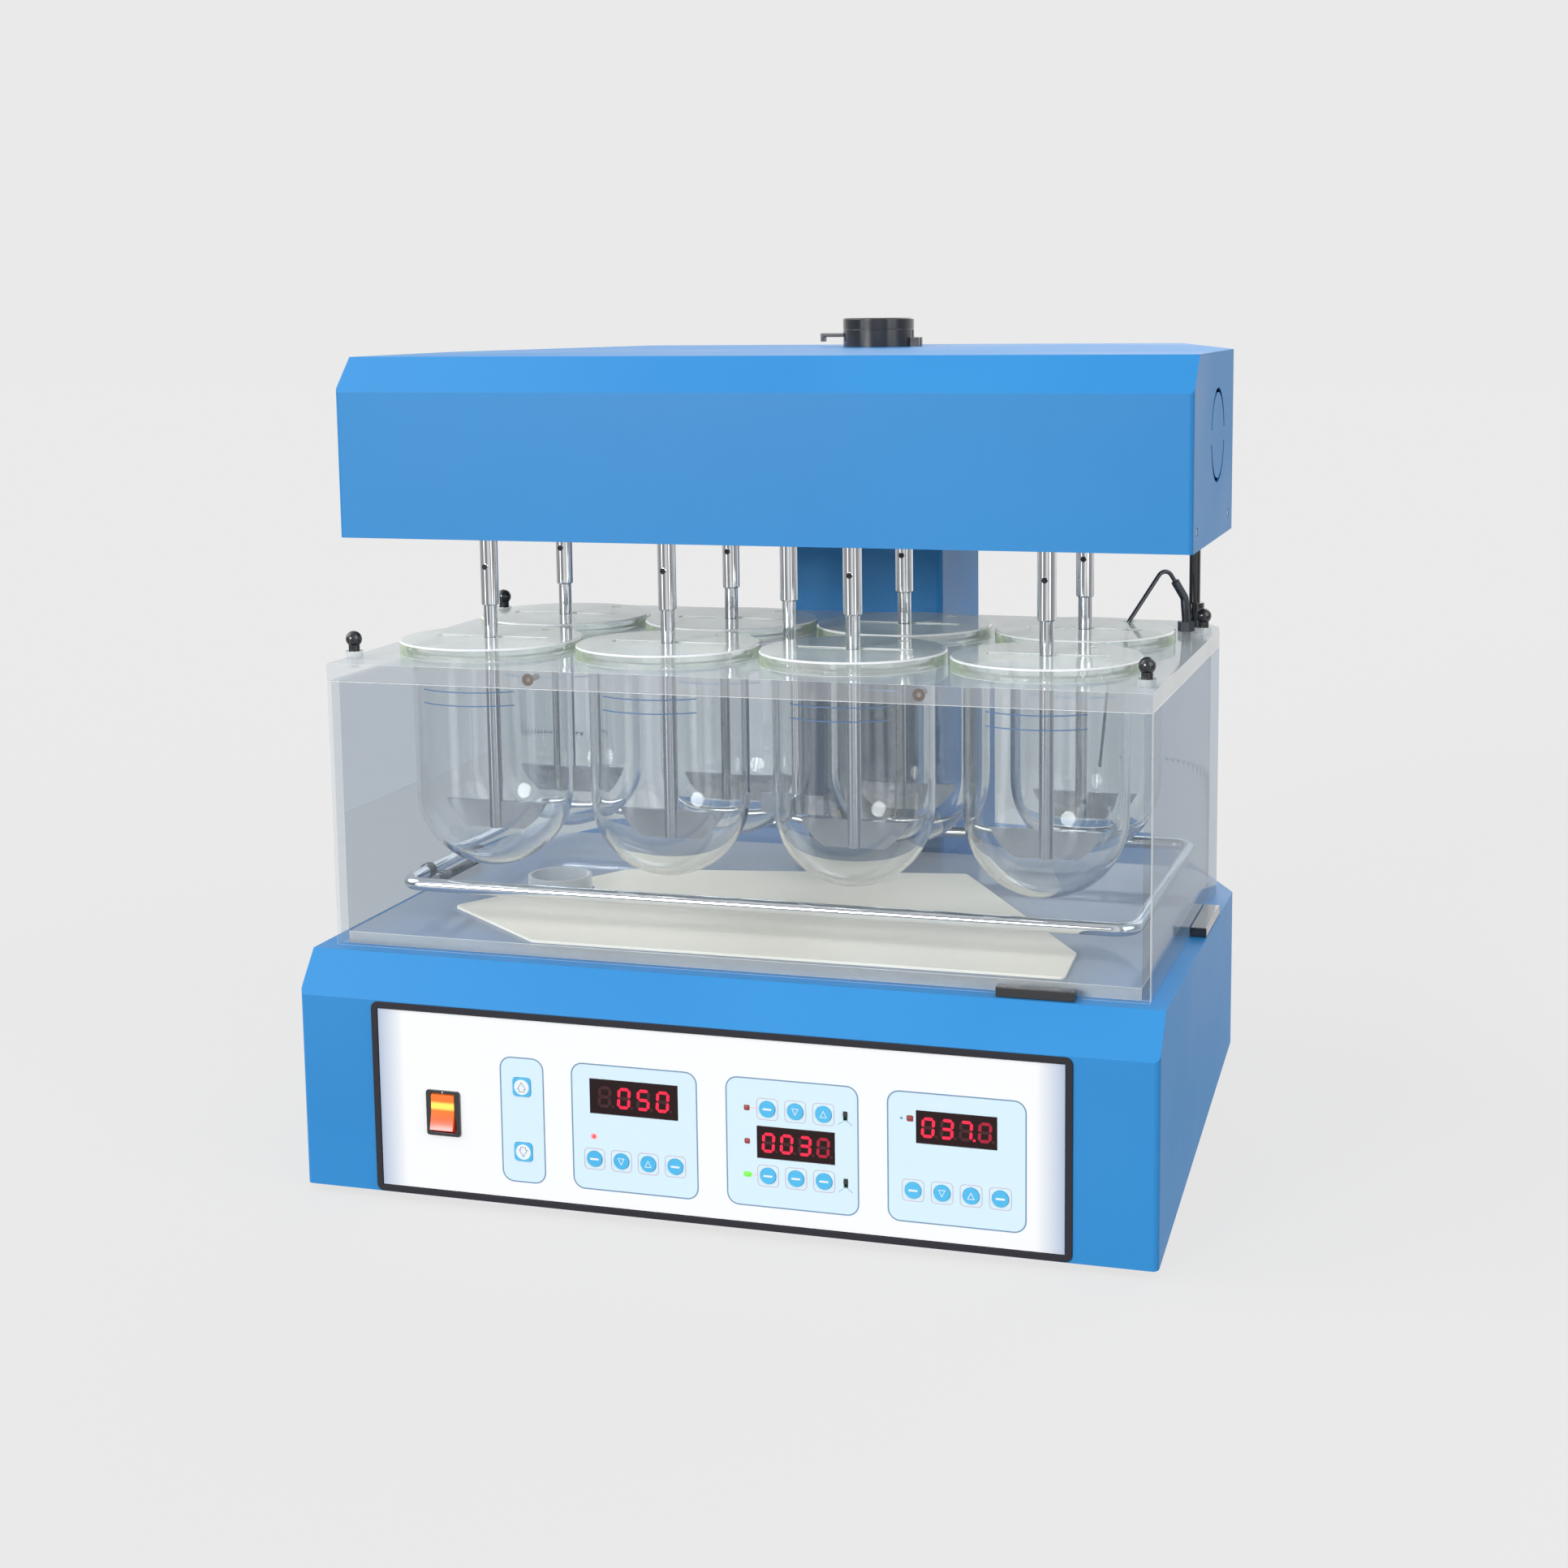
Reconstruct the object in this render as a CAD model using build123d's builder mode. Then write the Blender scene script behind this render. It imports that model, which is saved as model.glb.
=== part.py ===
from build123d import *
import os
from math import atan2, cos, degrees, hypot, radians, sin

os.makedirs("parts", exist_ok=True)

# All sizes are in millimetres.
# Heights count from the floor and setbacks from the front face of the base, unless a comment says otherwise.

# Clearances shared by the whole machine
cut_over = 3.0
seat_gap = 0.3
run_gap = 0.25

# Base casing
foot_lift = 5.0
cover_sheet = 1.5
deck_side_margin = 0.4
base_rear_margin = 9.6
base_face_height = 131.6
base_slope_rise = 26.4
base_slope_setback = 21.4
base_side_depth = 328.0
base_taper_share = 0.5
down_facing_share = -0.5
base_wedge_rise = 45.0
base_corner_radius = 4.0
chassis_thickness = 2.0
chassis_setback = 14.0

# Vents in the rear wall
vent_count = 9
vent_pitch = 9.0
vent_width = 3.0
vent_height = 36.0
vent_x = 110.0
vent_rise = 62.0

# Feet
front_foot_radius = 15.0
front_foot_side_inset = 44.0
front_foot_setback = 42.0
rear_foot_radius = 17.0
rear_foot_toe_radius = 13.0
rear_foot_side_inset = 139.0
rear_foot_inset = 68.0

# Fascia and its gasket
fascia_side_margin = 53.0
fascia_lower_margin = 0.4
fascia_upper_margin = 0.6
fascia_corner_radius = 5.0
gasket_face = 4.5
gasket_proud = 1.2
gasket_overlap = 2.0
gasket_lip = 3.0
gasket_lip_thickness = 2.5
panel_thickness = 2.0
panel_proud = 0.5

# Groups of controls on the fascia
lift_group_share = -0.2729
speed_group_share = -0.1076
timer_group_share = 0.1186
timer_keys_shift = 2.5
temp_group_share = 0.3453
key_pitch = 18.6
lower_key_height = 42.0
upper_key_height = 86.0

# Keys and the tact switches behind them
key_radius = 5.25
lift_key_width = 12.6
lift_key_corner = 2.5
key_proud = 0.6
key_flange = 1.4
key_flange_thickness = 1.0
key_stem_radius = 2.0
key_stem_length = 3.2
key_travel = 0.4
tact_width = 6.0

# Displays and lamps
speed_display_width = 60.8
speed_display_height = 23.5
speed_display_center = 84.4
side_display_width = 51.8
side_display_height = 21.4
timer_display_center = 64.0
temp_display_center = 83.5
window_ledge = 1.5
lamp_radius = 1.5
speed_lamp_shift = 28.0
speed_lamp_height = 57.2
timer_lamp_shift = 29.8
temp_lamp_shift = 29.7
temp_lamp_height = 88.5

# Slide switches of the timer group
slide_shift = 35.3
slide_slot_width = 3.0
slide_slot_height = 6.3
slide_knob_height = 2.8
slide_knob_proud = 0.9
slide_travel = 3.0
slide_flange = 1.0

# Boards
board_depth = 9.0
board_thickness = 1.6
board_side_gap = 23.4
board_height_margin = 16.3
board_side_margin = 21.0
standoff_radius = 3.0
standoff_inset = 4.0
power_board_width = 110.0
power_board_depth = 90.0
power_board_side_inset = 154.0
power_board_inset = 93.0
power_board_lift = 8.0
transformer_width = 46.0
transformer_height = 38.0
capacitor_radius = 9.0
capacitor_height = 28.0

# Mains switch
mains_share = -0.3928
mains_height = 63.5
bezel_width = 24.0
bezel_height = 31.0
bezel_thickness = 1.5
bezel_corner = 2.0
mains_body_width = 22.0
mains_body_height = 29.0
mains_body_depth = 20.0
mains_back_wall = 2.0
rocker_width = 16.4
rocker_radius = 13.0
rocker_edge_angle = 27.3
rocker_back_angle = 20.0
rocker_waist = 4.6
rocker_tilt = 8.0
rocker_pivot_depth = 2.0
rocker_pin_radius = 1.5
rocker_pin_length = 2.0
terminal_width = 6.3
terminal_thickness = 0.8
terminal_length = 8.0
terminal_pitch = 9.0

# Power inlet on the rear wall
inlet_x = -110.0
inlet_height = 100.0
inlet_flange_width = 50.0
inlet_flange_height = 24.0
inlet_flange_thickness = 2.5
inlet_flange_corner = 6.0
inlet_body_width = 28.5
inlet_body_height = 20.5
inlet_body_depth = 24.0
inlet_recess_width = 24.4
inlet_recess_height = 16.4
inlet_recess_depth = 16.0
inlet_recess_chamfer = 4.0
inlet_pin_width = 2.0
inlet_pin_height = 4.0
inlet_pin_pitch = 7.0
inlet_pin_offset = 2.0
inlet_pin_length = 14.0

# Water bath tank
tank_side_margin = 28.3
tank_setback = 32.7
tank_front_margin = 28.9
tank_rear_margin = 70.4
tank_wall = 6.0
tank_floor_thickness = 8.0
tank_wall_height = 180.7
tank_corner_radius = 45.0

# Mat and round cup on the tank floor
mat_thickness = 2.0
mat_corner_radius = 5.0
cup_side_inset = 100.3
cup_front_inset = 148.3
cup_radius = 23.0
cup_wall = 2.0
cup_height = 12.0

# Outline of the mat, as shares of the tank's width and depth
mat_outline_shares = [
    (-0.413, 0.244),
    (-0.249, 0.028),
    (0.400, 0.034),
    (0.393, 0.205),
    (0.177, 0.778),
    (-0.270, 0.638),
]

# Stops round the tank
stop_width = 50.0
stop_depth = 8.4
stop_height = 6.5
front_stop_inset = 70.3
side_stop_length = 66.0
side_stop_width = 11.0
side_stop_inset = 196.3

# Heater
heater_radius = 4.5
heater_bend_radius = 14.0
heater_side_gap = 14.6
heater_front_inset = 59.2
heater_rear_inset = 26.0
heater_end_x = 25.0
heater_lift = 21.6
gland_radius = 9.0
gland_inner_thickness = 5.0
gland_outer_thickness = 2.6

# Vessel plate, vessels and lids
plate_thickness = 12.0
vessel_spacing = 22.0
spindle_columns = 4
vessel_radius = 54.0
vessel_wall = 2.5
vessel_depth = 150.0
vessel_rim_width = 3.5
vessel_rim_thickness = 3.0
vessel_hole_gap = 0.5
impeller_hole_radius = 23.5
lid_overhang = 8.5
lid_thickness = 9.3
lid_edge_chamfer = 1.0
lid_shaft_hole_radius = 7.0
lid_slot_gap = 2.5
lid_port_radius = 4.0
lid_port_x = 23.5
lid_port_y = 41.9

# Knobs on the plate
knob_side_inset = 7.7
knob_front_inset = 25.4
knob_rear_inset = 70.2
knob_sleeve_radius = 6.0
knob_sleeve_height = 5.3
knob_stem_radius = 3.75
knob_ball_radius = 5.5
knob_ball_height = 13.3
knob_stud_radius = 2.5
knob_stud_length = 6.0

# Temperature probe
probe_gland_side_inset = 22.3
probe_gland_inset = 55.0
probe_gland_radius = 6.0
probe_gland_height = 7.0
probe_gland_stud_length = 8.0
probe_sleeve_radius = 3.0
probe_sleeve_rise = 24.0
probe_sleeve_lean = 1.5
probe_rod_radius = 1.5
probe_peak_height = 48.0
probe_peak_reach = 17.0
probe_tip_drop = 94.0
probe_tip_lean = 16.0
probe_bend_radius = 6.0

# Column behind the tank
column_width = 119.6
column_depth = 125.0
column_gap = 3.4
column_rise = 73.3
column_corner_radius = 5.0
deck_hole_gap = 3.0

# Post, guide rods and their bushes
post_inset = 40.6
post_radius = 20.0
post_bore_radius = 14.0
post_foot_drop = 13.0
post_flange_radius = 32.0
post_flange_thickness = 6.0
post_bush_radius = 25.0
post_bush_length = 82.0
rod_x = 40.0
rod_inset = 96.6
rod_radius = 6.0
rod_bush_radius = 10.0
rod_bush_length = 43.0
bush_flange = 4.0
bush_flange_thickness = 3.0

# Lift screw and its motor
screw_radius = 7.0
screw_top_drop = 84.0
nut_height = 18.0
coupling_radius = 10.0
coupling_height = 12.0
coupling_lift = 2.0
motor_shaft_radius = 4.0
lift_motor_width = 57.0
lift_motor_height = 58.0
motor_corner_chamfer = 5.0
motor_bore_depth = 14.0

# Head
head_overhang = 3.5
head_rear_margin = 3.0
head_setback = 86.5
head_gap = 5.5
head_face_height = 99.1
head_slope_rise = 23.4
head_slope_setback = 22.9
head_side_depth = 181.5
head_taper_share = 0.3
head_plate_thickness = 4.0
head_corner_radius = 3.0
side_ring_radius = 31.0
side_ring_width = 3.0
side_ring_bridge = 9.0
side_ring_inset = 107.1
side_ring_rise = 68.0

# Spindles, bearings, pulleys and belts
sleeve_radius = 6.25
sleeve_rise = 22.0
sleeve_chamfer = 1.0
shaft_radius = 4.75
bearing_radius = 15.0
bearing_flange = 4.0
bearing_flange_thickness = 3.0
bearing_height = 23.5
pulley_radius = 16.0
pulley_width = 6.0
pulley_gap = 2.0
pulley_rise = 4.0
belt_thickness = 1.5
set_screw_radius = 2.0
set_screw_length = 3.0
set_screw_rise = 27.0

# Paddles and bath impeller
paddle_clearance = 22.8
paddle_top_width = 74.5
paddle_bottom_width = 42.0
paddle_height = 19.0
paddle_thickness = 4.0
paddle_side_radius = 41.5
impeller_drop = 106.7
impeller_height = 14.0
impeller_radius = 22.3
impeller_thickness = 3.0
impeller_hub_radius = 7.0

# Drive motor
drive_motor_radius = 30.0
drive_motor_height = 42.0
bracket_thickness = 3.0
bracket_lift = 1.0
bracket_leg_radius = 4.0
bracket_leg_reach = 45.0
bracket_arm_width = 16.0
drive_stub_length = 14.0

# Collar and its lever
collar_radius = 27.5
collar_ring_height = 13.0
collar_cap_height = 8.7
collar_slit = 2.5
collar_chamfer = 1.0
collar_ear_reach = 6.0
collar_ear_width = 12.0
collar_ear_height = 7.0
lever_height = 9.0
lever_thickness = 3.0
lever_width = 7.0
lever_reach = 18.5
lever_tip_drop = 3.5
lever_pin_radius = 1.5

# Stop rod
stop_rod_side_inset = 19.3
stop_rod_inset = 35.0
stop_rod_radius = 4.0
stop_tip_radius = 7.0
stop_tip_height = 18.0

# Widths worked out from the vessels outwards
spindle_pitch = 2 * vessel_radius + vessel_spacing
vessel_rim_radius = vessel_radius + vessel_rim_width
lid_radius = vessel_radius + lid_overhang
tank_width = (spindle_columns - 1) * spindle_pitch + 2 * (vessel_radius + tank_side_margin)
base_width = tank_width + 2 * (seat_gap + side_stop_width + deck_side_margin)
head_width = base_width + 2 * head_overhang
fascia_width = base_width - 2 * fascia_side_margin
front_foot_x = base_width / 2 - front_foot_side_inset
rear_foot_x = base_width / 2 - rear_foot_side_inset
power_board_x = power_board_side_inset - base_width / 2
heater_half_width = tank_width / 2 - tank_wall - heater_side_gap
cup_x = cup_side_inset - tank_width / 2
front_stop_x = tank_width / 2 - front_stop_inset
knob_x = tank_width / 2 - knob_side_inset
probe_gland_x = tank_width / 2 - probe_gland_side_inset
stop_rod_x = tank_width / 2 - stop_rod_side_inset

# Places of the controls across the fascia
mains_x = fascia_width * mains_share
lift_group_x = fascia_width * lift_group_share
speed_group_x = fascia_width * speed_group_share
timer_group_x = fascia_width * timer_group_share
temp_group_x = fascia_width * temp_group_share
board_left = mains_x + mains_body_width / 2 + board_side_gap
board_right = fascia_width / 2 - board_side_margin
board_width = board_right - board_left
board_x = (board_left + board_right) / 2

# Setbacks worked out from the front face of the base to the rear
spindle_center_setback = tank_setback + tank_front_margin + vessel_radius + spindle_pitch / 2
tank_depth = tank_front_margin + spindle_pitch + 2 * vessel_radius + tank_rear_margin
tank_rear_setback = tank_setback + tank_depth
column_setback = tank_rear_setback + column_gap
base_depth = column_setback + column_depth + base_rear_margin
post_setback = column_setback + post_inset
rod_setback = column_setback + rod_inset
rear_foot_setback = base_depth - rear_foot_inset
power_board_setback = base_depth - power_board_inset
head_depth = base_depth - head_rear_margin - head_setback
side_ring_setback = head_setback + side_ring_inset
cup_setback = tank_setback + cup_front_inset
side_stop_setback = tank_setback + side_stop_inset
heater_front_setback = tank_setback + heater_front_inset
heater_rear_setback = tank_rear_setback - heater_rear_inset
knob_front_setback = tank_setback + knob_front_inset
knob_rear_setback = tank_rear_setback - knob_rear_inset
probe_gland_setback = tank_rear_setback - probe_gland_inset
stop_rod_setback = tank_rear_setback - stop_rod_inset

# Heights worked out from the sizes above
base_face_top = foot_lift + base_face_height
fascia_height = base_face_height - fascia_lower_margin - fascia_upper_margin
fascia_center_height = foot_lift + fascia_lower_margin + fascia_height / 2
board_height = fascia_height - 2 * board_height_margin
deck_height = base_face_top + base_slope_rise
post_foot_height = deck_height - post_foot_drop
wedge_end_height = foot_lift + base_wedge_rise
tank_floor_top = deck_height + tank_floor_thickness
plate_bottom = deck_height + tank_wall_height
plate_top = plate_bottom + plate_thickness
impeller_bottom_height = plate_bottom - impeller_drop
column_height = tank_wall_height + plate_thickness + column_rise
column_top = deck_height + column_height
screw_top_height = column_top - screw_top_drop
sleeve_bottom_height = plate_top + lid_thickness + sleeve_rise
set_screw_height = sleeve_bottom_height + set_screw_rise
head_floor_height = column_top + head_gap
side_ring_height = head_floor_height + side_ring_rise
head_face_top = head_floor_height + head_face_height
head_top = head_face_top + head_slope_rise
head_plate_top = head_floor_height + head_plate_thickness
chassis_top = wedge_end_height + chassis_thickness
paddle_bottom_height = plate_top - vessel_depth + vessel_wall + paddle_clearance

# The front-most point is the raised end of the rocker and the rear-most the flange of the inlet.
rocker_reach = rocker_radius * sin(radians(rocker_edge_angle + rocker_tilt)) - rocker_pivot_depth
front_y = (rocker_reach - base_depth - inlet_flange_thickness) / 2

# Places along Y in the frame of the machine
base_rear_y = front_y + base_depth
tank_front_y = front_y + tank_setback
tank_rear_y = tank_front_y + tank_depth
spindle_center_y = front_y + spindle_center_setback
column_front_y = front_y + column_setback
post_y = front_y + post_setback
rod_y = front_y + rod_setback
head_front_y = front_y + head_setback

row_y = [spindle_center_y - spindle_pitch / 2, spindle_center_y + spindle_pitch / 2]
column_x = [(i - (spindle_columns - 1) / 2) * spindle_pitch for i in range(spindle_columns)]
vessel_places = [(x, y) for y in row_y for x in column_x]


def facing_front(depth):
    """Upright plane at a depth behind the front face of the base. Its normal points to the front."""
    return Plane.XZ.offset(-(front_y + depth))


def tapered_plan(start_y, width, side_depth, depth, taper_share):
    """Corners of a casing seen from above, with sides that draw in towards the rear."""
    half = width / 2
    rear_half = half - (depth - side_depth) * taper_share
    return [
        (-half, start_y),
        (half, start_y),
        (half, start_y + side_depth),
        (rear_half, start_y + depth),
        (-rear_half, start_y + depth),
        (-half, start_y + side_depth),
    ]


base_plan = tapered_plan(front_y, base_width, base_side_depth, base_depth, base_taper_share)
head_plan = tapered_plan(head_front_y, head_width, head_side_depth, head_depth, head_taper_share)

# Base casing: side profile with a sloped shoulder and a rising underside, cut to the plan
with BuildPart() as base_housing:
    with BuildSketch(Plane.YZ.offset(-base_width / 2)):
        with BuildLine():
            Polyline(
                (front_y, foot_lift),
                (front_y, base_face_top),
                (front_y + base_slope_setback, deck_height),
                (base_rear_y, deck_height),
                (base_rear_y, wedge_end_height),
                (front_y + base_side_depth, wedge_end_height),
                close=True,
            )
        make_face()
    extrude(amount=base_width)
    with BuildSketch(Plane.XY):
        with BuildLine():
            Polyline(*base_plan, close=True)
        make_face()
    extrude(amount=deck_height, mode=Mode.INTERSECT)
    fillet(base_housing.edges().filter_by(Axis.Z), radius=base_corner_radius)
    underside = base_housing.faces().filter_by(lambda face: face.normal_at().Z < down_facing_share)
    offset(amount=-cover_sheet, openings=underside, kind=Kind.INTERSECTION)
    with BuildSketch(facing_front(cover_sheet + cut_over)):
        with Locations((0, fascia_center_height)):
            RectangleRounded(
                fascia_width - 2 * gasket_overlap,
                fascia_height - 2 * gasket_overlap,
                fascia_corner_radius - gasket_overlap,
            )
    extrude(amount=cover_sheet + 2 * cut_over, mode=Mode.SUBTRACT)
    with BuildSketch(Plane.XY.offset(deck_height - cover_sheet - cut_over)):
        with Locations((0, post_y)):
            Circle(post_radius + deck_hole_gap)
        with Locations((-rod_x, rod_y), (rod_x, rod_y)):
            Circle(rod_radius + deck_hole_gap)
    extrude(amount=cover_sheet + 2 * cut_over, mode=Mode.SUBTRACT)
    with BuildSketch(facing_front(base_depth + cut_over)):
        with Locations((inlet_x, inlet_height)):
            Rectangle(inlet_body_width + 2 * seat_gap, inlet_body_height + 2 * seat_gap)
        with Locations((vent_x, wedge_end_height + vent_rise)):
            with GridLocations(vent_pitch, vent_pitch, vent_count, 1):
                Rectangle(vent_width, vent_height)
    extrude(amount=cover_sheet + 2 * cut_over, mode=Mode.SUBTRACT)
base_housing.part.label = "base_housing"
export_step(base_housing.part, "parts/base_housing.step")

# Bottom plate, which follows the rising underside and lies between the walls of the casing
chassis_front_height = foot_lift + chassis_setback * base_wedge_rise / base_side_depth
with BuildPart() as chassis_plate:
    with BuildSketch(Plane.YZ.offset(-base_width / 2)):
        with BuildLine():
            Polyline(
                (front_y + chassis_setback, chassis_front_height),
                (front_y + chassis_setback, chassis_front_height + chassis_thickness),
                (front_y + base_side_depth, chassis_top),
                (base_rear_y, chassis_top),
                (base_rear_y, wedge_end_height),
                (front_y + base_side_depth, wedge_end_height),
                close=True,
            )
        make_face()
    extrude(amount=base_width)
    with BuildSketch(Plane.XY) as chassis_plan:
        with BuildLine():
            Polyline(*base_plan, close=True)
        make_face()
        offset(amount=-(cover_sheet + seat_gap), kind=Kind.INTERSECTION)
        fillet(chassis_plan.vertices(), radius=base_corner_radius)
    extrude(amount=deck_height, mode=Mode.INTERSECT)
chassis_plate.part.label = "chassis_plate"
export_step(chassis_plate.part, "parts/chassis_plate.step")

# Feet: the front ones are cut to the slope of the underside, the rear ones taper to the floor
with BuildPart() as rubber_feet:
    with BuildSketch(Plane.XY):
        with Locations(*[(side * front_foot_x, front_y + front_foot_setback) for side in (-1, 1)]):
            Circle(front_foot_radius)
    extrude(amount=wedge_end_height)
    with BuildSketch(Plane.YZ.offset(-base_width / 2)):
        with BuildLine():
            Polyline(
                (front_y, foot_lift),
                (front_y + base_side_depth, wedge_end_height),
                (front_y, wedge_end_height + cut_over),
                close=True,
            )
        make_face()
    extrude(amount=base_width, mode=Mode.SUBTRACT)
    for side in (-1, 1):
        with BuildSketch(facing_front(rear_foot_setback)):
            with BuildLine():
                Polyline(
                    (side * rear_foot_x, 0),
                    (side * rear_foot_x + rear_foot_toe_radius, 0),
                    (side * rear_foot_x + rear_foot_radius, wedge_end_height),
                    (side * rear_foot_x, wedge_end_height),
                    close=True,
                )
            make_face()
        revolve(axis=Axis((side * rear_foot_x, front_y + rear_foot_setback, 0), (0, 0, 1)))
rubber_feet.part.label = "rubber_feet"
export_step(rubber_feet.part, "parts/rubber_feet.step")

# Gasket: a bead on the face of the casing, a neck through its opening and a lip behind the panel
gasket_inner_width = fascia_width - 2 * gasket_face
gasket_inner_height = fascia_height - 2 * gasket_face
panel_rear_depth = panel_thickness - panel_proud
with BuildPart() as fascia_gasket:
    with BuildSketch(facing_front(0)):
        with Locations((0, fascia_center_height)):
            RectangleRounded(fascia_width, fascia_height, fascia_corner_radius)
            Rectangle(gasket_inner_width, gasket_inner_height, mode=Mode.SUBTRACT)
    extrude(amount=gasket_proud)
    with BuildSketch(facing_front(panel_rear_depth + gasket_lip_thickness)):
        with Locations((0, fascia_center_height)):
            RectangleRounded(
                fascia_width - 2 * (gasket_overlap + seat_gap),
                fascia_height - 2 * (gasket_overlap + seat_gap),
                fascia_corner_radius - gasket_overlap,
            )
            Rectangle(gasket_inner_width, gasket_inner_height, mode=Mode.SUBTRACT)
    extrude(amount=panel_rear_depth + gasket_lip_thickness)
    with BuildSketch(facing_front(panel_rear_depth + gasket_lip_thickness)):
        with Locations((0, fascia_center_height)):
            Rectangle(gasket_inner_width, gasket_inner_height)
            Rectangle(
                gasket_inner_width - 2 * gasket_lip,
                gasket_inner_height - 2 * gasket_lip,
                mode=Mode.SUBTRACT,
            )
    extrude(amount=gasket_lip_thickness)
fascia_gasket.part.label = "fascia_gasket"
export_step(fascia_gasket.part, "parts/fascia_gasket.step")

# Places of the keys, lamps, windows and slides on the fascia
timer_keys_x = timer_group_x + timer_keys_shift
four_key_shares = [-1.5, -0.5, 0.5, 1.5]
three_key_shares = [-1, 0, 1]
round_keys = {}
for i, share in enumerate(four_key_shares):
    round_keys[f"key_speed_{i + 1}"] = (speed_group_x + share * key_pitch, lower_key_height)
    round_keys[f"key_temp_{i + 1}"] = (temp_group_x + share * key_pitch, lower_key_height)
for i, share in enumerate(three_key_shares):
    round_keys[f"key_timer_{i + 1}"] = (timer_keys_x + share * key_pitch, upper_key_height)
    round_keys[f"key_timer_{i + 4}"] = (timer_keys_x + share * key_pitch, lower_key_height)
square_keys = {
    "key_lift_up": (lift_group_x, upper_key_height),
    "key_lift_down": (lift_group_x, lower_key_height),
}
slide_places = {
    "slide_switch_upper": (timer_group_x + slide_shift, upper_key_height),
    "slide_switch_lower": (timer_group_x + slide_shift, lower_key_height),
}
windows = [
    (speed_group_x, speed_display_center, speed_display_width, speed_display_height),
    (timer_keys_x, timer_display_center, side_display_width, side_display_height),
    (temp_group_x, temp_display_center, side_display_width, side_display_height),
]
lamp_places = [
    (speed_group_x - speed_lamp_shift, speed_lamp_height),
    (timer_group_x - timer_lamp_shift, upper_key_height),
    (timer_group_x - timer_lamp_shift, timer_display_center),
    (timer_group_x - timer_lamp_shift, lower_key_height),
    (temp_group_x - temp_lamp_shift, temp_lamp_height),
]

# Control panel with every cut-out
with BuildPart() as fascia_panel:
    with BuildSketch(facing_front(panel_rear_depth)):
        with Locations((0, fascia_center_height)):
            Rectangle(gasket_inner_width - 2 * seat_gap, gasket_inner_height - 2 * seat_gap)
        with Locations((mains_x, mains_height)):
            Rectangle(mains_body_width + 2 * seat_gap, mains_body_height + 2 * seat_gap, mode=Mode.SUBTRACT)
        with Locations(*round_keys.values()):
            Circle(key_radius + run_gap, mode=Mode.SUBTRACT)
        with Locations(*square_keys.values()):
            RectangleRounded(
                lift_key_width + 2 * run_gap,
                lift_key_width + 2 * run_gap,
                lift_key_corner + run_gap,
                mode=Mode.SUBTRACT,
            )
        with Locations(*slide_places.values()):
            Rectangle(slide_slot_width, slide_slot_height, mode=Mode.SUBTRACT)
        with Locations(*lamp_places):
            Circle(lamp_radius + run_gap, mode=Mode.SUBTRACT)
        for x, height, width, window_height in windows:
            with Locations((x, height)):
                Rectangle(width, window_height, mode=Mode.SUBTRACT)
    extrude(amount=panel_thickness)
fascia_panel.part.label = "fascia_panel"
export_step(fascia_panel.part, "parts/fascia_panel.step")

# Windows: a pane in each opening with a ledge behind the panel
with BuildPart() as display_windows:
    for x, height, width, window_height in windows:
        with BuildSketch(facing_front(panel_rear_depth)):
            with Locations((x, height)):
                Rectangle(width - 2 * seat_gap, window_height - 2 * seat_gap)
        extrude(amount=panel_thickness)
        with BuildSketch(facing_front(panel_rear_depth + window_ledge)):
            with Locations((x, height)):
                Rectangle(width + 2 * window_ledge, window_height + 2 * window_ledge)
        extrude(amount=window_ledge)
display_windows.part.label = "display_windows"
export_step(display_windows.part, "parts/display_windows.step")

# Keys: cap, flange behind the panel and stem; each is pushed back by its travel
flange_front_depth = panel_rear_depth + seat_gap
flange_rear_depth = flange_front_depth + key_flange_thickness
stem_rear_depth = flange_rear_depth + key_stem_length
for key_name, (x, height) in {**round_keys, **square_keys}.items():
    with BuildPart() as key:
        with BuildSketch(facing_front(flange_front_depth)):
            with Locations((x, height)):
                if key_name in square_keys:
                    RectangleRounded(lift_key_width, lift_key_width, lift_key_corner)
                else:
                    Circle(key_radius)
        extrude(amount=flange_front_depth + panel_proud + key_proud)
        with BuildSketch(facing_front(flange_rear_depth)):
            with Locations((x, height)):
                if key_name in square_keys:
                    Rectangle(lift_key_width + 2 * key_flange, lift_key_width + 2 * key_flange)
                else:
                    Circle(key_radius + key_flange)
        extrude(amount=key_flange_thickness)
        with BuildSketch(facing_front(stem_rear_depth)):
            with Locations((x, height)):
                Circle(key_stem_radius)
        extrude(amount=key_stem_length)
    key.part.label = key_name
    export_step(key.part, f"parts/{key_name}.step")

# Slide knobs: each stands at the top of its slot and slides down
for slide_name, (x, height) in slide_places.items():
    knob_height = height + slide_travel / 2
    with BuildPart() as slide:
        with BuildSketch(facing_front(flange_front_depth)):
            with Locations((x, knob_height)):
                Rectangle(slide_slot_width - 2 * run_gap, slide_knob_height)
        extrude(amount=flange_front_depth + panel_proud + slide_knob_proud)
        with BuildSketch(facing_front(flange_rear_depth)):
            with Locations((x, knob_height)):
                Rectangle(slide_slot_width + 2 * slide_flange, slide_knob_height + 2 * slide_flange)
        extrude(amount=key_flange_thickness)
    slide.part.label = slide_name
    export_step(slide.part, f"parts/{slide_name}.step")

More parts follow.
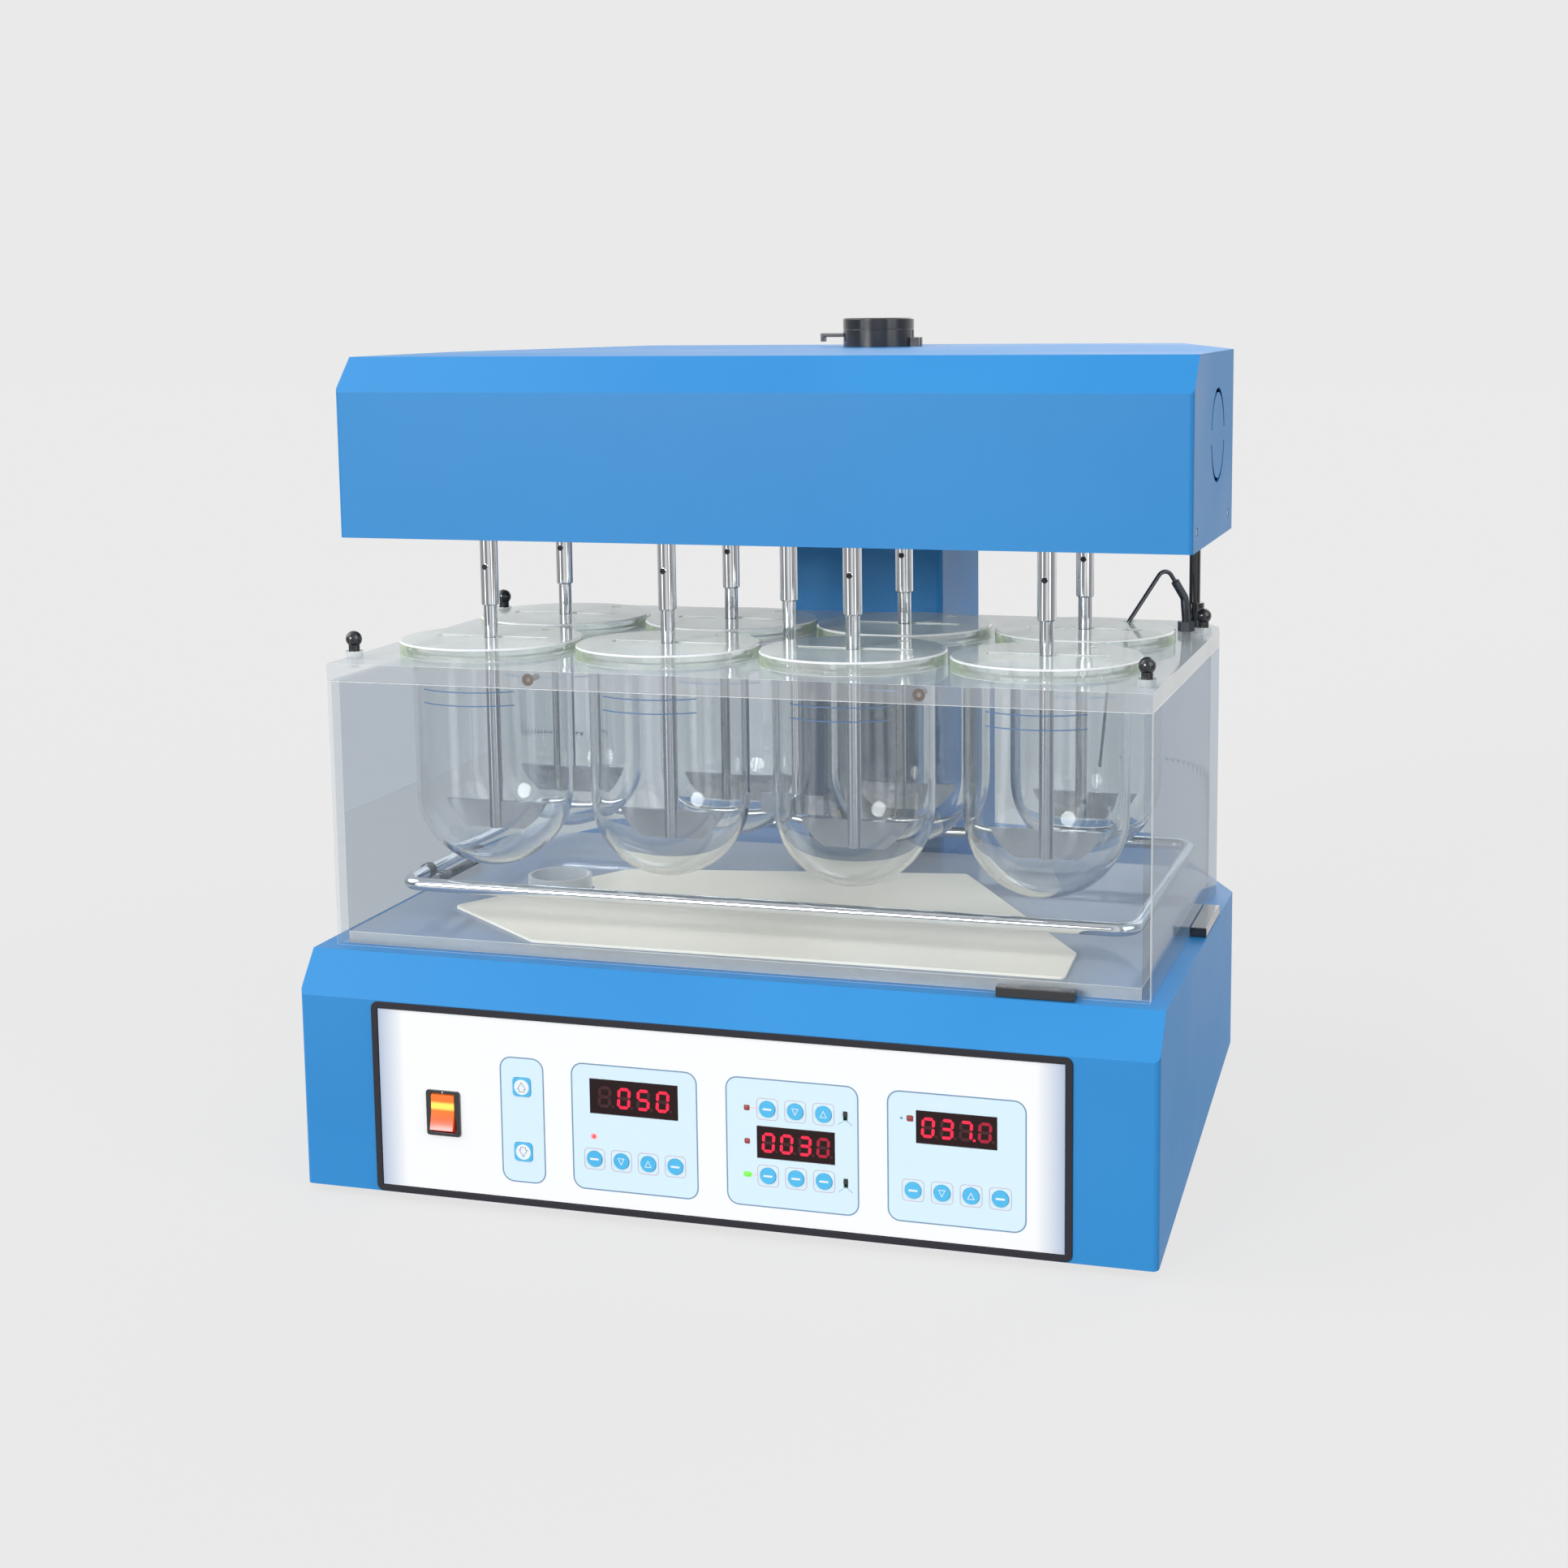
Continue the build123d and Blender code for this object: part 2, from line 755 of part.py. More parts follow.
# Control board on standoffs, with tact switches, digit modules, lamps and slide bodies, and the power board
tact_front_depth = stem_rear_depth + key_travel + seat_gap
module_front_depth = panel_rear_depth + window_ledge + seat_gap
slide_body_depth = flange_rear_depth + seat_gap
power_board_y = front_y + power_board_setback
power_board_height = chassis_top + power_board_lift
power_board_top = power_board_height + board_thickness
with BuildPart() as circuit_boards:
    with BuildSketch(facing_front(board_depth + board_thickness)):
        with Locations((board_x, fascia_center_height)):
            Rectangle(board_width, board_height)
    extrude(amount=board_thickness)
    with BuildSketch(facing_front(board_depth)):
        with Locations((board_x, fascia_center_height)):
            with GridLocations(board_width - 2 * standoff_inset, board_height - 2 * standoff_inset, 2, 2):
                Rectangle(2 * standoff_radius, 2 * standoff_radius)
    extrude(amount=board_depth - panel_rear_depth)
    with BuildSketch(facing_front(board_depth)):
        with Locations(*round_keys.values(), *square_keys.values()):
            Rectangle(tact_width, tact_width)
    extrude(amount=board_depth - tact_front_depth)
    with BuildSketch(facing_front(board_depth)):
        for x, height, width, window_height in windows:
            with Locations((x, height)):
                Rectangle(width, window_height)
    extrude(amount=board_depth - module_front_depth)
    with BuildSketch(facing_front(board_depth)):
        with Locations(*slide_places.values()):
            Rectangle(tact_width, slide_slot_height + slide_travel)
    extrude(amount=board_depth - slide_body_depth)
    with BuildSketch(facing_front(board_depth)):
        with Locations(*lamp_places):
            Circle(lamp_radius)
    extrude(amount=board_depth + panel_proud)
    with BuildSketch(Plane.XY.offset(chassis_top)):
        with Locations((power_board_x, power_board_y)):
            with GridLocations(
                power_board_width - 2 * standoff_inset,
                power_board_depth - 2 * standoff_inset,
                2,
                2,
            ):
                Rectangle(2 * standoff_radius, 2 * standoff_radius)
    extrude(amount=power_board_lift)
    with BuildSketch(Plane.XY.offset(power_board_height)):
        with Locations((power_board_x, power_board_y)):
            Rectangle(power_board_width, power_board_depth)
    extrude(amount=board_thickness)
    with BuildSketch(Plane.XY.offset(power_board_top)):
        with Locations((power_board_x - transformer_width / 2, power_board_y)):
            Rectangle(transformer_width, transformer_width)
    extrude(amount=transformer_height)
    with BuildSketch(Plane.XY.offset(power_board_top)):
        with Locations((power_board_x + transformer_width / 2, power_board_y)):
            with GridLocations(3 * capacitor_radius, 3 * capacitor_radius, 1, 2):
                Circle(capacitor_radius)
    extrude(amount=capacitor_height)
circuit_boards.part.label = "circuit_boards"
export_step(circuit_boards.part, "parts/circuit_boards.step")

# Mains switch: bezel on the panel, a box behind it with side holes for the rocker's pins, and terminals
mains_opening_width = rocker_width + 2 * seat_gap
mains_opening_height = 2 * (rocker_radius + seat_gap)
pivot_y = front_y + rocker_pivot_depth
with BuildPart() as mains_switch_body:
    with BuildSketch(facing_front(-panel_proud)):
        with Locations((mains_x, mains_height)):
            RectangleRounded(bezel_width, bezel_height, bezel_corner)
    extrude(amount=bezel_thickness)
    with BuildSketch(facing_front(mains_body_depth)):
        with Locations((mains_x, mains_height)):
            Rectangle(mains_body_width, mains_body_height)
    extrude(amount=mains_body_depth + panel_proud)
    with BuildSketch(facing_front(mains_body_depth - mains_back_wall)):
        with Locations((mains_x, mains_height)):
            Rectangle(mains_opening_width, mains_opening_height)
    extrude(amount=mains_body_depth + bezel_thickness + cut_over, mode=Mode.SUBTRACT)
    with BuildSketch(Plane.YZ.offset(mains_x - mains_body_width / 2 - cut_over)):
        with Locations((pivot_y, mains_height)):
            Circle(rocker_pin_radius + run_gap)
    extrude(amount=mains_body_width + 2 * cut_over, mode=Mode.SUBTRACT)
    with BuildSketch(facing_front(mains_body_depth + terminal_length)):
        with Locations((mains_x, mains_height)):
            with GridLocations(terminal_pitch, terminal_pitch, 1, 3):
                Rectangle(terminal_width, terminal_thickness)
    extrude(amount=terminal_length)
mains_switch_body.part.label = "mains_switch_body"
export_step(mains_switch_body.part, "parts/mains_switch_body.step")

# Rocker: waisted front, round ends about the pivot; at rest its top end is pressed in
edge_sin = sin(radians(rocker_edge_angle))
edge_cos = cos(radians(rocker_edge_angle))
back_sin = sin(radians(rocker_back_angle))
back_cos = cos(radians(rocker_back_angle))
rocker_plane = Plane(
    origin=(mains_x, pivot_y, mains_height),
    x_dir=(0, cos(radians(rocker_tilt)), -sin(radians(rocker_tilt))),
    z_dir=(1, 0, 0),
)
with BuildPart() as mains_rocker:
    with BuildSketch(rocker_plane.offset(-rocker_width / 2)):
        with BuildLine():
            Polyline(
                (-rocker_radius * edge_sin, rocker_radius * edge_cos),
                (-rocker_waist, 0),
                (-rocker_radius * edge_sin, -rocker_radius * edge_cos),
            )
            ThreePointArc(
                (-rocker_radius * edge_sin, -rocker_radius * edge_cos),
                (0, -rocker_radius),
                (rocker_radius * back_sin, -rocker_radius * back_cos),
            )
            Line(
                (rocker_radius * back_sin, -rocker_radius * back_cos),
                (rocker_radius * back_sin, rocker_radius * back_cos),
            )
            ThreePointArc(
                (rocker_radius * back_sin, rocker_radius * back_cos),
                (0, rocker_radius),
                (-rocker_radius * edge_sin, rocker_radius * edge_cos),
            )
        make_face()
    extrude(amount=rocker_width)
    with BuildSketch(rocker_plane.offset(-rocker_width / 2 - rocker_pin_length)):
        Circle(rocker_pin_radius)
    extrude(amount=rocker_width + 2 * rocker_pin_length)
mains_rocker.part.label = "mains_rocker"
export_step(mains_rocker.part, "parts/mains_rocker.step")

# Power inlet: flange outside the rear wall, body inside it, and a recess with three flat pins
inlet_rear_depth = base_depth + inlet_flange_thickness
recess_bottom = inlet_height - inlet_recess_height / 2
recess_top = inlet_height + inlet_recess_height / 2
with BuildPart() as power_inlet:
    with BuildSketch(facing_front(inlet_rear_depth)):
        with Locations((inlet_x, inlet_height)):
            RectangleRounded(inlet_flange_width, inlet_flange_height, inlet_flange_corner)
    extrude(amount=inlet_flange_thickness)
    with BuildSketch(facing_front(base_depth)):
        with Locations((inlet_x, inlet_height)):
            Rectangle(inlet_body_width, inlet_body_height)
    extrude(amount=inlet_body_depth)
    with BuildSketch(facing_front(inlet_rear_depth + cut_over)):
        with BuildLine():
            Polyline(
                (inlet_x - inlet_recess_width / 2, recess_bottom),
                (inlet_x + inlet_recess_width / 2, recess_bottom),
                (inlet_x + inlet_recess_width / 2, recess_top - inlet_recess_chamfer),
                (inlet_x + inlet_recess_width / 2 - inlet_recess_chamfer, recess_top),
                (inlet_x - inlet_recess_width / 2 + inlet_recess_chamfer, recess_top),
                (inlet_x - inlet_recess_width / 2, recess_top - inlet_recess_chamfer),
                close=True,
            )
        make_face()
    extrude(amount=inlet_recess_depth + cut_over, mode=Mode.SUBTRACT)
    with BuildSketch(facing_front(inlet_rear_depth - inlet_recess_depth + inlet_pin_length)):
        with Locations(
            (inlet_x - inlet_pin_pitch, inlet_height - inlet_pin_offset),
            (inlet_x, inlet_height + inlet_pin_offset),
            (inlet_x + inlet_pin_pitch, inlet_height - inlet_pin_offset),
        ):
            Rectangle(inlet_pin_width, inlet_pin_height)
    extrude(amount=inlet_pin_length)
power_inlet.part.label = "power_inlet"
export_step(power_inlet.part, "parts/power_inlet.step")

# Tank: a front sheet over the whole width, a wall bent round the rear corners and a floor between them
tank_half = tank_width / 2
wall_front_y = tank_front_y + tank_wall
wall_outer_route = [
    (-tank_half, wall_front_y),
    (-tank_half, tank_rear_y),
    (tank_half, tank_rear_y),
    (tank_half, wall_front_y),
]
wall_inner_route = [
    (tank_half - tank_wall, wall_front_y),
    (tank_half - tank_wall, tank_rear_y - tank_wall),
    (-tank_half + tank_wall, tank_rear_y - tank_wall),
    (-tank_half + tank_wall, wall_front_y),
]
heater_height = tank_floor_top + heater_lift
with BuildPart() as tank_front:
    with BuildSketch(Plane.XY.offset(deck_height)):
        with Locations((0, tank_front_y + tank_wall / 2)):
            Rectangle(tank_width, tank_wall)
    extrude(amount=tank_wall_height)
with BuildPart() as tank_bent_wall:
    with BuildSketch(Plane.XY.offset(deck_height)):
        with BuildLine():
            FilletPolyline(*wall_outer_route, radius=tank_corner_radius)
            Line(wall_outer_route[-1], wall_inner_route[0])
            FilletPolyline(*wall_inner_route, radius=tank_corner_radius - tank_wall)
            Line(wall_inner_route[-1], wall_outer_route[0])
        make_face()
    extrude(amount=tank_wall_height)
    with BuildSketch(facing_front(tank_setback + tank_depth + cut_over)):
        with Locations((-heater_end_x, heater_height), (heater_end_x, heater_height)):
            Circle(heater_radius + run_gap)
    extrude(amount=tank_wall + 2 * cut_over, mode=Mode.SUBTRACT)
with BuildPart() as tank_floor:
    with BuildSketch(Plane.XY.offset(deck_height)):
        with BuildLine():
            FilletPolyline(*wall_inner_route, radius=tank_corner_radius - tank_wall)
            Line(wall_inner_route[-1], wall_inner_route[0])
        make_face()
    extrude(amount=tank_floor_thickness)
water_bath_tank = Compound(
    label="water_bath_tank",
    children=[tank_front.part, tank_bent_wall.part, tank_floor.part],
)
export_step(water_bath_tank, "parts/water_bath_tank.step")

# Mat on the tank floor, notched round the cup
cup_y = front_y + cup_setback
with BuildPart() as tank_mat:
    with BuildSketch(Plane.XY.offset(tank_floor_top)) as mat_sketch:
        with BuildLine():
            Polyline(
                *[(x * tank_width, tank_front_y + y * tank_depth) for x, y in mat_outline_shares],
                close=True,
            )
        make_face()
        fillet(mat_sketch.vertices(), radius=mat_corner_radius)
        with Locations((cup_x, cup_y)):
            Circle(cup_radius + cup_wall, mode=Mode.SUBTRACT)
    extrude(amount=mat_thickness)
tank_mat.part.label = "tank_mat"
export_step(tank_mat.part, "parts/tank_mat.step")

# Stops on the deck in front of the tank and beside it
side_stop_x = tank_half + seat_gap + side_stop_width / 2
with BuildPart() as tank_stops:
    with BuildSketch(Plane.XY.offset(deck_height)):
        with Locations((front_stop_x, tank_front_y - seat_gap - stop_depth / 2)):
            Rectangle(stop_width, stop_depth)
        with Locations(
            (-side_stop_x, front_y + side_stop_setback),
            (side_stop_x, front_y + side_stop_setback),
        ):
            Rectangle(side_stop_width, side_stop_length)
    extrude(amount=stop_height)
tank_stops.part.label = "tank_stops"
export_step(tank_stops.part, "parts/tank_stops.step")

# Heater: one bent tube that runs round the tank and ends in two glands in the rear wall
heater_end_y = tank_rear_y + gland_outer_thickness
heater_rear_y = front_y + heater_rear_setback
heater_front_y = front_y + heater_front_setback
with BuildPart() as heater_tube:
    with BuildLine(Plane.XY.offset(heater_height)) as heater_route:
        FilletPolyline(
            (heater_end_x, heater_end_y),
            (heater_end_x, heater_rear_y),
            (heater_half_width, heater_rear_y),
            (heater_half_width, heater_front_y),
            (-heater_half_width, heater_front_y),
            (-heater_half_width, heater_rear_y),
            (-heater_end_x, heater_rear_y),
            (-heater_end_x, heater_end_y),
            radius=heater_bend_radius,
        )
    with BuildSketch(Plane(origin=heater_route.line @ 0, z_dir=heater_route.line % 0)):
        Circle(heater_radius)
    sweep(path=heater_route.line)
heater_tube.part.label = "heater_tube"
export_step(heater_tube.part, "parts/heater_tube.step")

# Glands of the heater on both faces of the rear wall, and the round cup on the floor
gland_depths = [
    (tank_setback + tank_depth - tank_wall, gland_inner_thickness),
    (tank_setback + tank_depth + gland_outer_thickness, gland_outer_thickness),
]
with BuildPart() as tank_fittings:
    for depth, thickness in gland_depths:
        with BuildSketch(facing_front(depth)):
            with Locations((-heater_end_x, heater_height), (heater_end_x, heater_height)):
                RegularPolygon(gland_radius, 6)
                Circle(heater_radius + run_gap, mode=Mode.SUBTRACT)
        extrude(amount=thickness)
    with BuildSketch(Plane.XY.offset(tank_floor_top)):
        with Locations((cup_x, cup_y)):
            Circle(cup_radius)
            Circle(cup_radius - cup_wall, mode=Mode.SUBTRACT)
    extrude(amount=cup_height)
tank_fittings.part.label = "tank_fittings"
export_step(tank_fittings.part, "parts/tank_fittings.step")

# Plate on the tank's walls, with a hole for each vessel and one for the impeller
probe_gland_y = front_y + probe_gland_setback
knob_places = [
    (side * knob_x, front_y + setback)
    for side in (-1, 1)
    for setback in (knob_front_setback, knob_rear_setback)
]
with BuildPart() as vessel_plate:
    with BuildSketch(Plane.XY.offset(plate_bottom)) as plate_sketch:
        with Locations((0, tank_front_y + tank_depth / 2)):
            Rectangle(tank_width, tank_depth)
        fillet(plate_sketch.vertices().group_by(Axis.Y)[-1], radius=tank_corner_radius)
        with Locations(*vessel_places):
            Circle(vessel_radius + vessel_hole_gap, mode=Mode.SUBTRACT)
        with Locations((0, spindle_center_y)):
            Circle(impeller_hole_radius, mode=Mode.SUBTRACT)
        with Locations((probe_gland_x, probe_gland_y)):
            Circle(probe_sleeve_radius + seat_gap, mode=Mode.SUBTRACT)
    extrude(amount=plate_thickness)
    with BuildSketch(Plane.XY.offset(plate_top)):
        with Locations(*knob_places):
            Circle(knob_stud_radius)
    extrude(amount=-knob_stud_length, mode=Mode.SUBTRACT)
vessel_plate.part.label = "vessel_plate"
export_step(vessel_plate.part, "parts/vessel_plate.step")

# Knobs: stud in the plate, stem, ball and a clear sleeve round the stem
with BuildPart() as plate_knobs:
    with BuildSketch(Plane.XY.offset(plate_top - knob_stud_length)):
        with Locations(*knob_places):
            Circle(knob_stud_radius)
    extrude(amount=knob_stud_length)
    with BuildSketch(Plane.XY.offset(plate_top)):
        with Locations(*knob_places):
            Circle(knob_stem_radius)
    extrude(amount=knob_ball_height)
    with Locations(*[(x, y, plate_top + knob_ball_height) for x, y in knob_places]):
        Sphere(knob_ball_radius)
    with BuildSketch(Plane.XY.offset(plate_top)):
        with Locations(*knob_places):
            Circle(knob_sleeve_radius)
            Circle(knob_stem_radius, mode=Mode.SUBTRACT)
    extrude(amount=knob_sleeve_height)
plate_knobs.part.label = "plate_knobs"
export_step(plate_knobs.part, "parts/plate_knobs.step")

# Vessel: round bottom, straight wall and a rim that rests on the plate
vessel_bottom = plate_top - vessel_depth
vessel_inner_radius = vessel_radius - vessel_wall
bottom_center_height = vessel_bottom + vessel_radius
rim_top = plate_top + vessel_rim_thickness
half_turn_share = sin(radians(45))
with BuildPart() as vessel:
    with BuildSketch(Plane.XZ):
        with BuildLine():
            ThreePointArc(
                (0, vessel_bottom),
                (vessel_radius * half_turn_share, bottom_center_height - vessel_radius * half_turn_share),
                (vessel_radius, bottom_center_height),
            )
            Polyline(
                (vessel_radius, bottom_center_height),
                (vessel_radius, plate_top),
                (vessel_rim_radius, plate_top),
                (vessel_rim_radius, rim_top),
                (vessel_inner_radius, rim_top),
                (vessel_inner_radius, bottom_center_height),
            )
            ThreePointArc(
                (vessel_inner_radius, bottom_center_height),
                (
                    vessel_inner_radius * half_turn_share,
                    bottom_center_height - vessel_inner_radius * half_turn_share,
                ),
                (0, vessel_bottom + vessel_wall),
            )
            Line((0, vessel_bottom + vessel_wall), (0, vessel_bottom))
        make_face()
    revolve(axis=Axis.Z)
with BuildPart() as vessels:
    with Locations(*[(x, y, 0) for x, y in vessel_places]):
        add(vessel.part)
vessels.part.label = "vessels"
export_step(vessels.part, "parts/vessels.step")

# Lid: thick clear disc with a recess for the rim, a shaft hole, a slot that the paddle passes and a port
with BuildPart() as lid:
    with BuildSketch(Plane.XY.offset(plate_top)):
        Circle(lid_radius)
    extrude(amount=lid_thickness)
    chamfer(lid.faces().sort_by(Axis.Z)[-1].edges(), length=lid_edge_chamfer)
    with BuildSketch(Plane.XY.offset(plate_top)):
        Circle(vessel_rim_radius + seat_gap)
    extrude(amount=vessel_rim_thickness + seat_gap, mode=Mode.SUBTRACT)
    with BuildSketch(Plane.XY.offset(plate_top)):
        Circle(lid_shaft_hole_radius)
        Rectangle(paddle_top_width + 2 * lid_slot_gap, paddle_thickness + 2 * lid_slot_gap)
        with Locations((lid_port_x, lid_port_y)):
            Circle(lid_port_radius)
    extrude(amount=lid_thickness + cut_over, mode=Mode.SUBTRACT)
with BuildPart() as vessel_lids:
    with Locations(*[(x, y, 0) for x, y in vessel_places]):
        add(lid.part)
vessel_lids.part.label = "vessel_lids"
export_step(vessel_lids.part, "parts/vessel_lids.step")

# Temperature probe: from its gland up in a sleeve, over a peak and down through the port of the last lid
port_x = vessel_places[-1][0] + lid_port_x
port_y = vessel_places[-1][1] + lid_port_y
port_reach = hypot(port_x - probe_gland_x, port_y - probe_gland_y)
probe_x_share = (port_x - probe_gland_x) / port_reach
probe_y_share = (port_y - probe_gland_y) / port_reach
probe_plane = Plane(
    origin=(probe_gland_x, probe_gland_y, plate_top),
    x_dir=(probe_x_share, probe_y_share, 0),
    z_dir=(probe_y_share, -probe_x_share, 0),
)
probe_start = (0, -probe_gland_stud_length)
probe_sleeve_end = (probe_sleeve_lean, probe_sleeve_rise)
probe_peak = (probe_peak_reach, probe_peak_height)
with BuildPart() as temperature_probe:
    with BuildSketch(Plane.XY.offset(plate_top)):
        with Locations((probe_gland_x, probe_gland_y)):
            RegularPolygon(probe_gland_radius, 6)
    extrude(amount=probe_gland_height)
    with BuildLine(probe_plane) as sleeve_route:
        FilletPolyline(
            probe_start,
            (0, probe_gland_height),
            probe_sleeve_end,
            (
                (probe_sleeve_end[0] + probe_peak[0]) / 2,
                (probe_sleeve_end[1] + probe_peak[1]) / 2,
            ),
            radius=probe_bend_radius,
        )
    with BuildSketch(Plane(origin=sleeve_route.line @ 0, z_dir=sleeve_route.line % 0)):
        Circle(probe_sleeve_radius)
    sweep(path=sleeve_route.line)
    with BuildLine(probe_plane) as rod_route:
        FilletPolyline(
            probe_sleeve_end,
            probe_peak,
            (port_reach, lid_thickness),
            (port_reach + probe_tip_lean, -probe_tip_drop),
            radius=probe_bend_radius,
        )
    with BuildSketch(Plane(origin=rod_route.line @ 0, z_dir=rod_route.line % 0)):
        Circle(probe_rod_radius)
    sweep(path=rod_route.line)
temperature_probe.part.label = "temperature_probe"
export_step(temperature_probe.part, "parts/temperature_probe.step")

# Column: a bent sheet box, open below, with holes for the bushes in its top
column_center_y = column_front_y + column_depth / 2
with BuildPart() as column_cover:
    with BuildSketch(Plane.XY.offset(deck_height)):
        with Locations((0, column_center_y)):
            RectangleRounded(column_width, column_depth, column_corner_radius)
    extrude(amount=column_height)
    offset(
        amount=-cover_sheet,
        openings=column_cover.faces().sort_by(Axis.Z)[0],
        kind=Kind.INTERSECTION,
    )
    with BuildSketch(Plane.XY.offset(column_top)):
        with Locations((0, post_y)):
            Circle(post_bush_radius + seat_gap)
        with Locations((-rod_x, rod_y), (rod_x, rod_y)):
            Circle(rod_bush_radius + seat_gap)
    extrude(amount=-(cover_sheet + cut_over), mode=Mode.SUBTRACT)
column_cover.part.label = "column_cover"
export_step(column_cover.part, "parts/column_cover.step")

# Bushes in the column's top: flange above the sheet and a long sleeve below it
bush_sets = [
    ([(0, post_y)], post_bush_radius, post_radius, post_bush_length),
    ([(-rod_x, rod_y), (rod_x, rod_y)], rod_bush_radius, rod_radius, rod_bush_length),
]
with BuildPart() as guide_bushes:
    for places, outer_radius, inner_radius, length in bush_sets:
        with BuildSketch(Plane.XY.offset(column_top)):
            with Locations(*places):
                Circle(outer_radius + bush_flange)
        extrude(amount=bush_flange_thickness)
        with BuildSketch(Plane.XY.offset(column_top)):
            with Locations(*places):
                Circle(outer_radius)
        extrude(amount=-(length - bush_flange_thickness))
        with BuildSketch(Plane.XY.offset(column_top + bush_flange_thickness)):
            with Locations(*places):
                Circle(inner_radius + run_gap)
        extrude(amount=-length, mode=Mode.SUBTRACT)
guide_bushes.part.label = "guide_bushes"
export_step(guide_bushes.part, "parts/guide_bushes.step")

# Lift motor on the bottom plate, with a bore for the shaft of the screw
lift_motor_top = chassis_top + lift_motor_height
with BuildPart() as lift_motor:
    with BuildSketch(Plane.XY.offset(chassis_top)) as motor_sketch:
        with Locations((0, post_y)):
            Rectangle(lift_motor_width, lift_motor_width)
        chamfer(motor_sketch.vertices(), length=motor_corner_chamfer)
    extrude(amount=lift_motor_height)
    with BuildSketch(Plane.XY.offset(lift_motor_top)):
        with Locations((0, post_y)):
            Circle(motor_shaft_radius + run_gap)
    extrude(amount=-motor_bore_depth, mode=Mode.SUBTRACT)
lift_motor.part.label = "lift_motor"
export_step(lift_motor.part, "parts/lift_motor.step")

# Lift screw: motor shaft, coupling and screw in one line
coupling_bottom = lift_motor_top + coupling_lift
shaft_bottom = lift_motor_top - motor_bore_depth + coupling_lift
with BuildPart() as lift_screw:
    with BuildSketch(Plane.XY.offset(shaft_bottom)):
        with Locations((0, post_y)):
            Circle(motor_shaft_radius)
    extrude(amount=coupling_bottom - shaft_bottom)
    with BuildSketch(Plane.XY.offset(coupling_bottom)):
        with Locations((0, post_y)):
            Circle(coupling_radius)
    extrude(amount=coupling_height)
    with BuildSketch(Plane.XY.offset(coupling_bottom + coupling_height)):
        with Locations((0, post_y)):
            Circle(screw_radius)
    extrude(amount=screw_top_height - coupling_bottom - coupling_height)
lift_screw.part.label = "lift_screw"
export_step(lift_screw.part, "parts/lift_screw.step")

# Post with its nut below and its flange on the head's plate, and two guide rods with heads
post_top = head_top + collar_ring_height
with BuildPart() as lift_rods:
    with BuildSketch(Plane.XY.offset(post_foot_height - nut_height)):
        with Locations((0, post_y)):
            Circle(post_radius)
            Circle(screw_radius + run_gap, mode=Mode.SUBTRACT)
    extrude(amount=nut_height)
    with BuildSketch(Plane.XY.offset(post_foot_height)):
        with Locations((0, post_y)):
            Circle(post_radius)
            Circle(post_bore_radius, mode=Mode.SUBTRACT)
    extrude(amount=post_top - post_foot_height)
    with BuildSketch(Plane.XY.offset(head_plate_top)):
        with Locations((0, post_y)):
            Circle(post_flange_radius)
            Circle(post_bore_radius, mode=Mode.SUBTRACT)
        with Locations((-rod_x, rod_y), (rod_x, rod_y)):
            Circle(rod_radius + bush_flange)
    extrude(amount=post_flange_thickness)
    with BuildSketch(Plane.XY.offset(post_foot_height)):
        with Locations((-rod_x, rod_y), (rod_x, rod_y)):
            Circle(rod_radius)
    extrude(amount=head_plate_top - post_foot_height)
lift_rods.part.label = "lift_rods"
export_step(lift_rods.part, "parts/lift_rods.step")

# Head cover: side profile with a sloped shoulder, cut to the plan, open below
stop_rod_y = front_y + stop_rod_setback
with BuildPart() as head_cover:
    with BuildSketch(Plane.YZ.offset(-head_width / 2)):
        with BuildLine():
            Polyline(
                (head_front_y, head_floor_height),
                (head_front_y, head_face_top),
                (head_front_y + head_slope_setback, head_top),
                (head_front_y + head_depth, head_top),
                (head_front_y + head_depth, head_floor_height),
                close=True,
            )
        make_face()
    extrude(amount=head_width)
    with BuildSketch(Plane.XY.offset(head_floor_height)):
        with BuildLine():
            Polyline(*head_plan, close=True)
        make_face()
    extrude(amount=head_top - head_floor_height, mode=Mode.INTERSECT)
    fillet(head_cover.edges().filter_by(Axis.Z), radius=head_corner_radius)
    offset(
        amount=-cover_sheet,
        openings=head_cover.faces().sort_by(Axis.Z)[0],
        kind=Kind.INTERSECTION,
    )
    with BuildSketch(Plane.XY.offset(head_top)):
        with Locations((0, post_y)):
            Circle(post_radius + seat_gap)
    extrude(amount=-(cover_sheet + cut_over), mode=Mode.SUBTRACT)
    with BuildSketch(Plane.YZ.offset(-head_width / 2 - cut_over)):
        with Locations((front_y + side_ring_setback, side_ring_height)):
            Circle(side_ring_radius)
            Circle(side_ring_radius - side_ring_width, mode=Mode.SUBTRACT)
            Rectangle(2 * side_ring_radius, side_ring_bridge, mode=Mode.SUBTRACT)
    extrude(amount=head_width + 2 * cut_over, mode=Mode.SUBTRACT)
head_cover.part.label = "head_cover"
export_step(head_cover.part, "parts/head_cover.step")

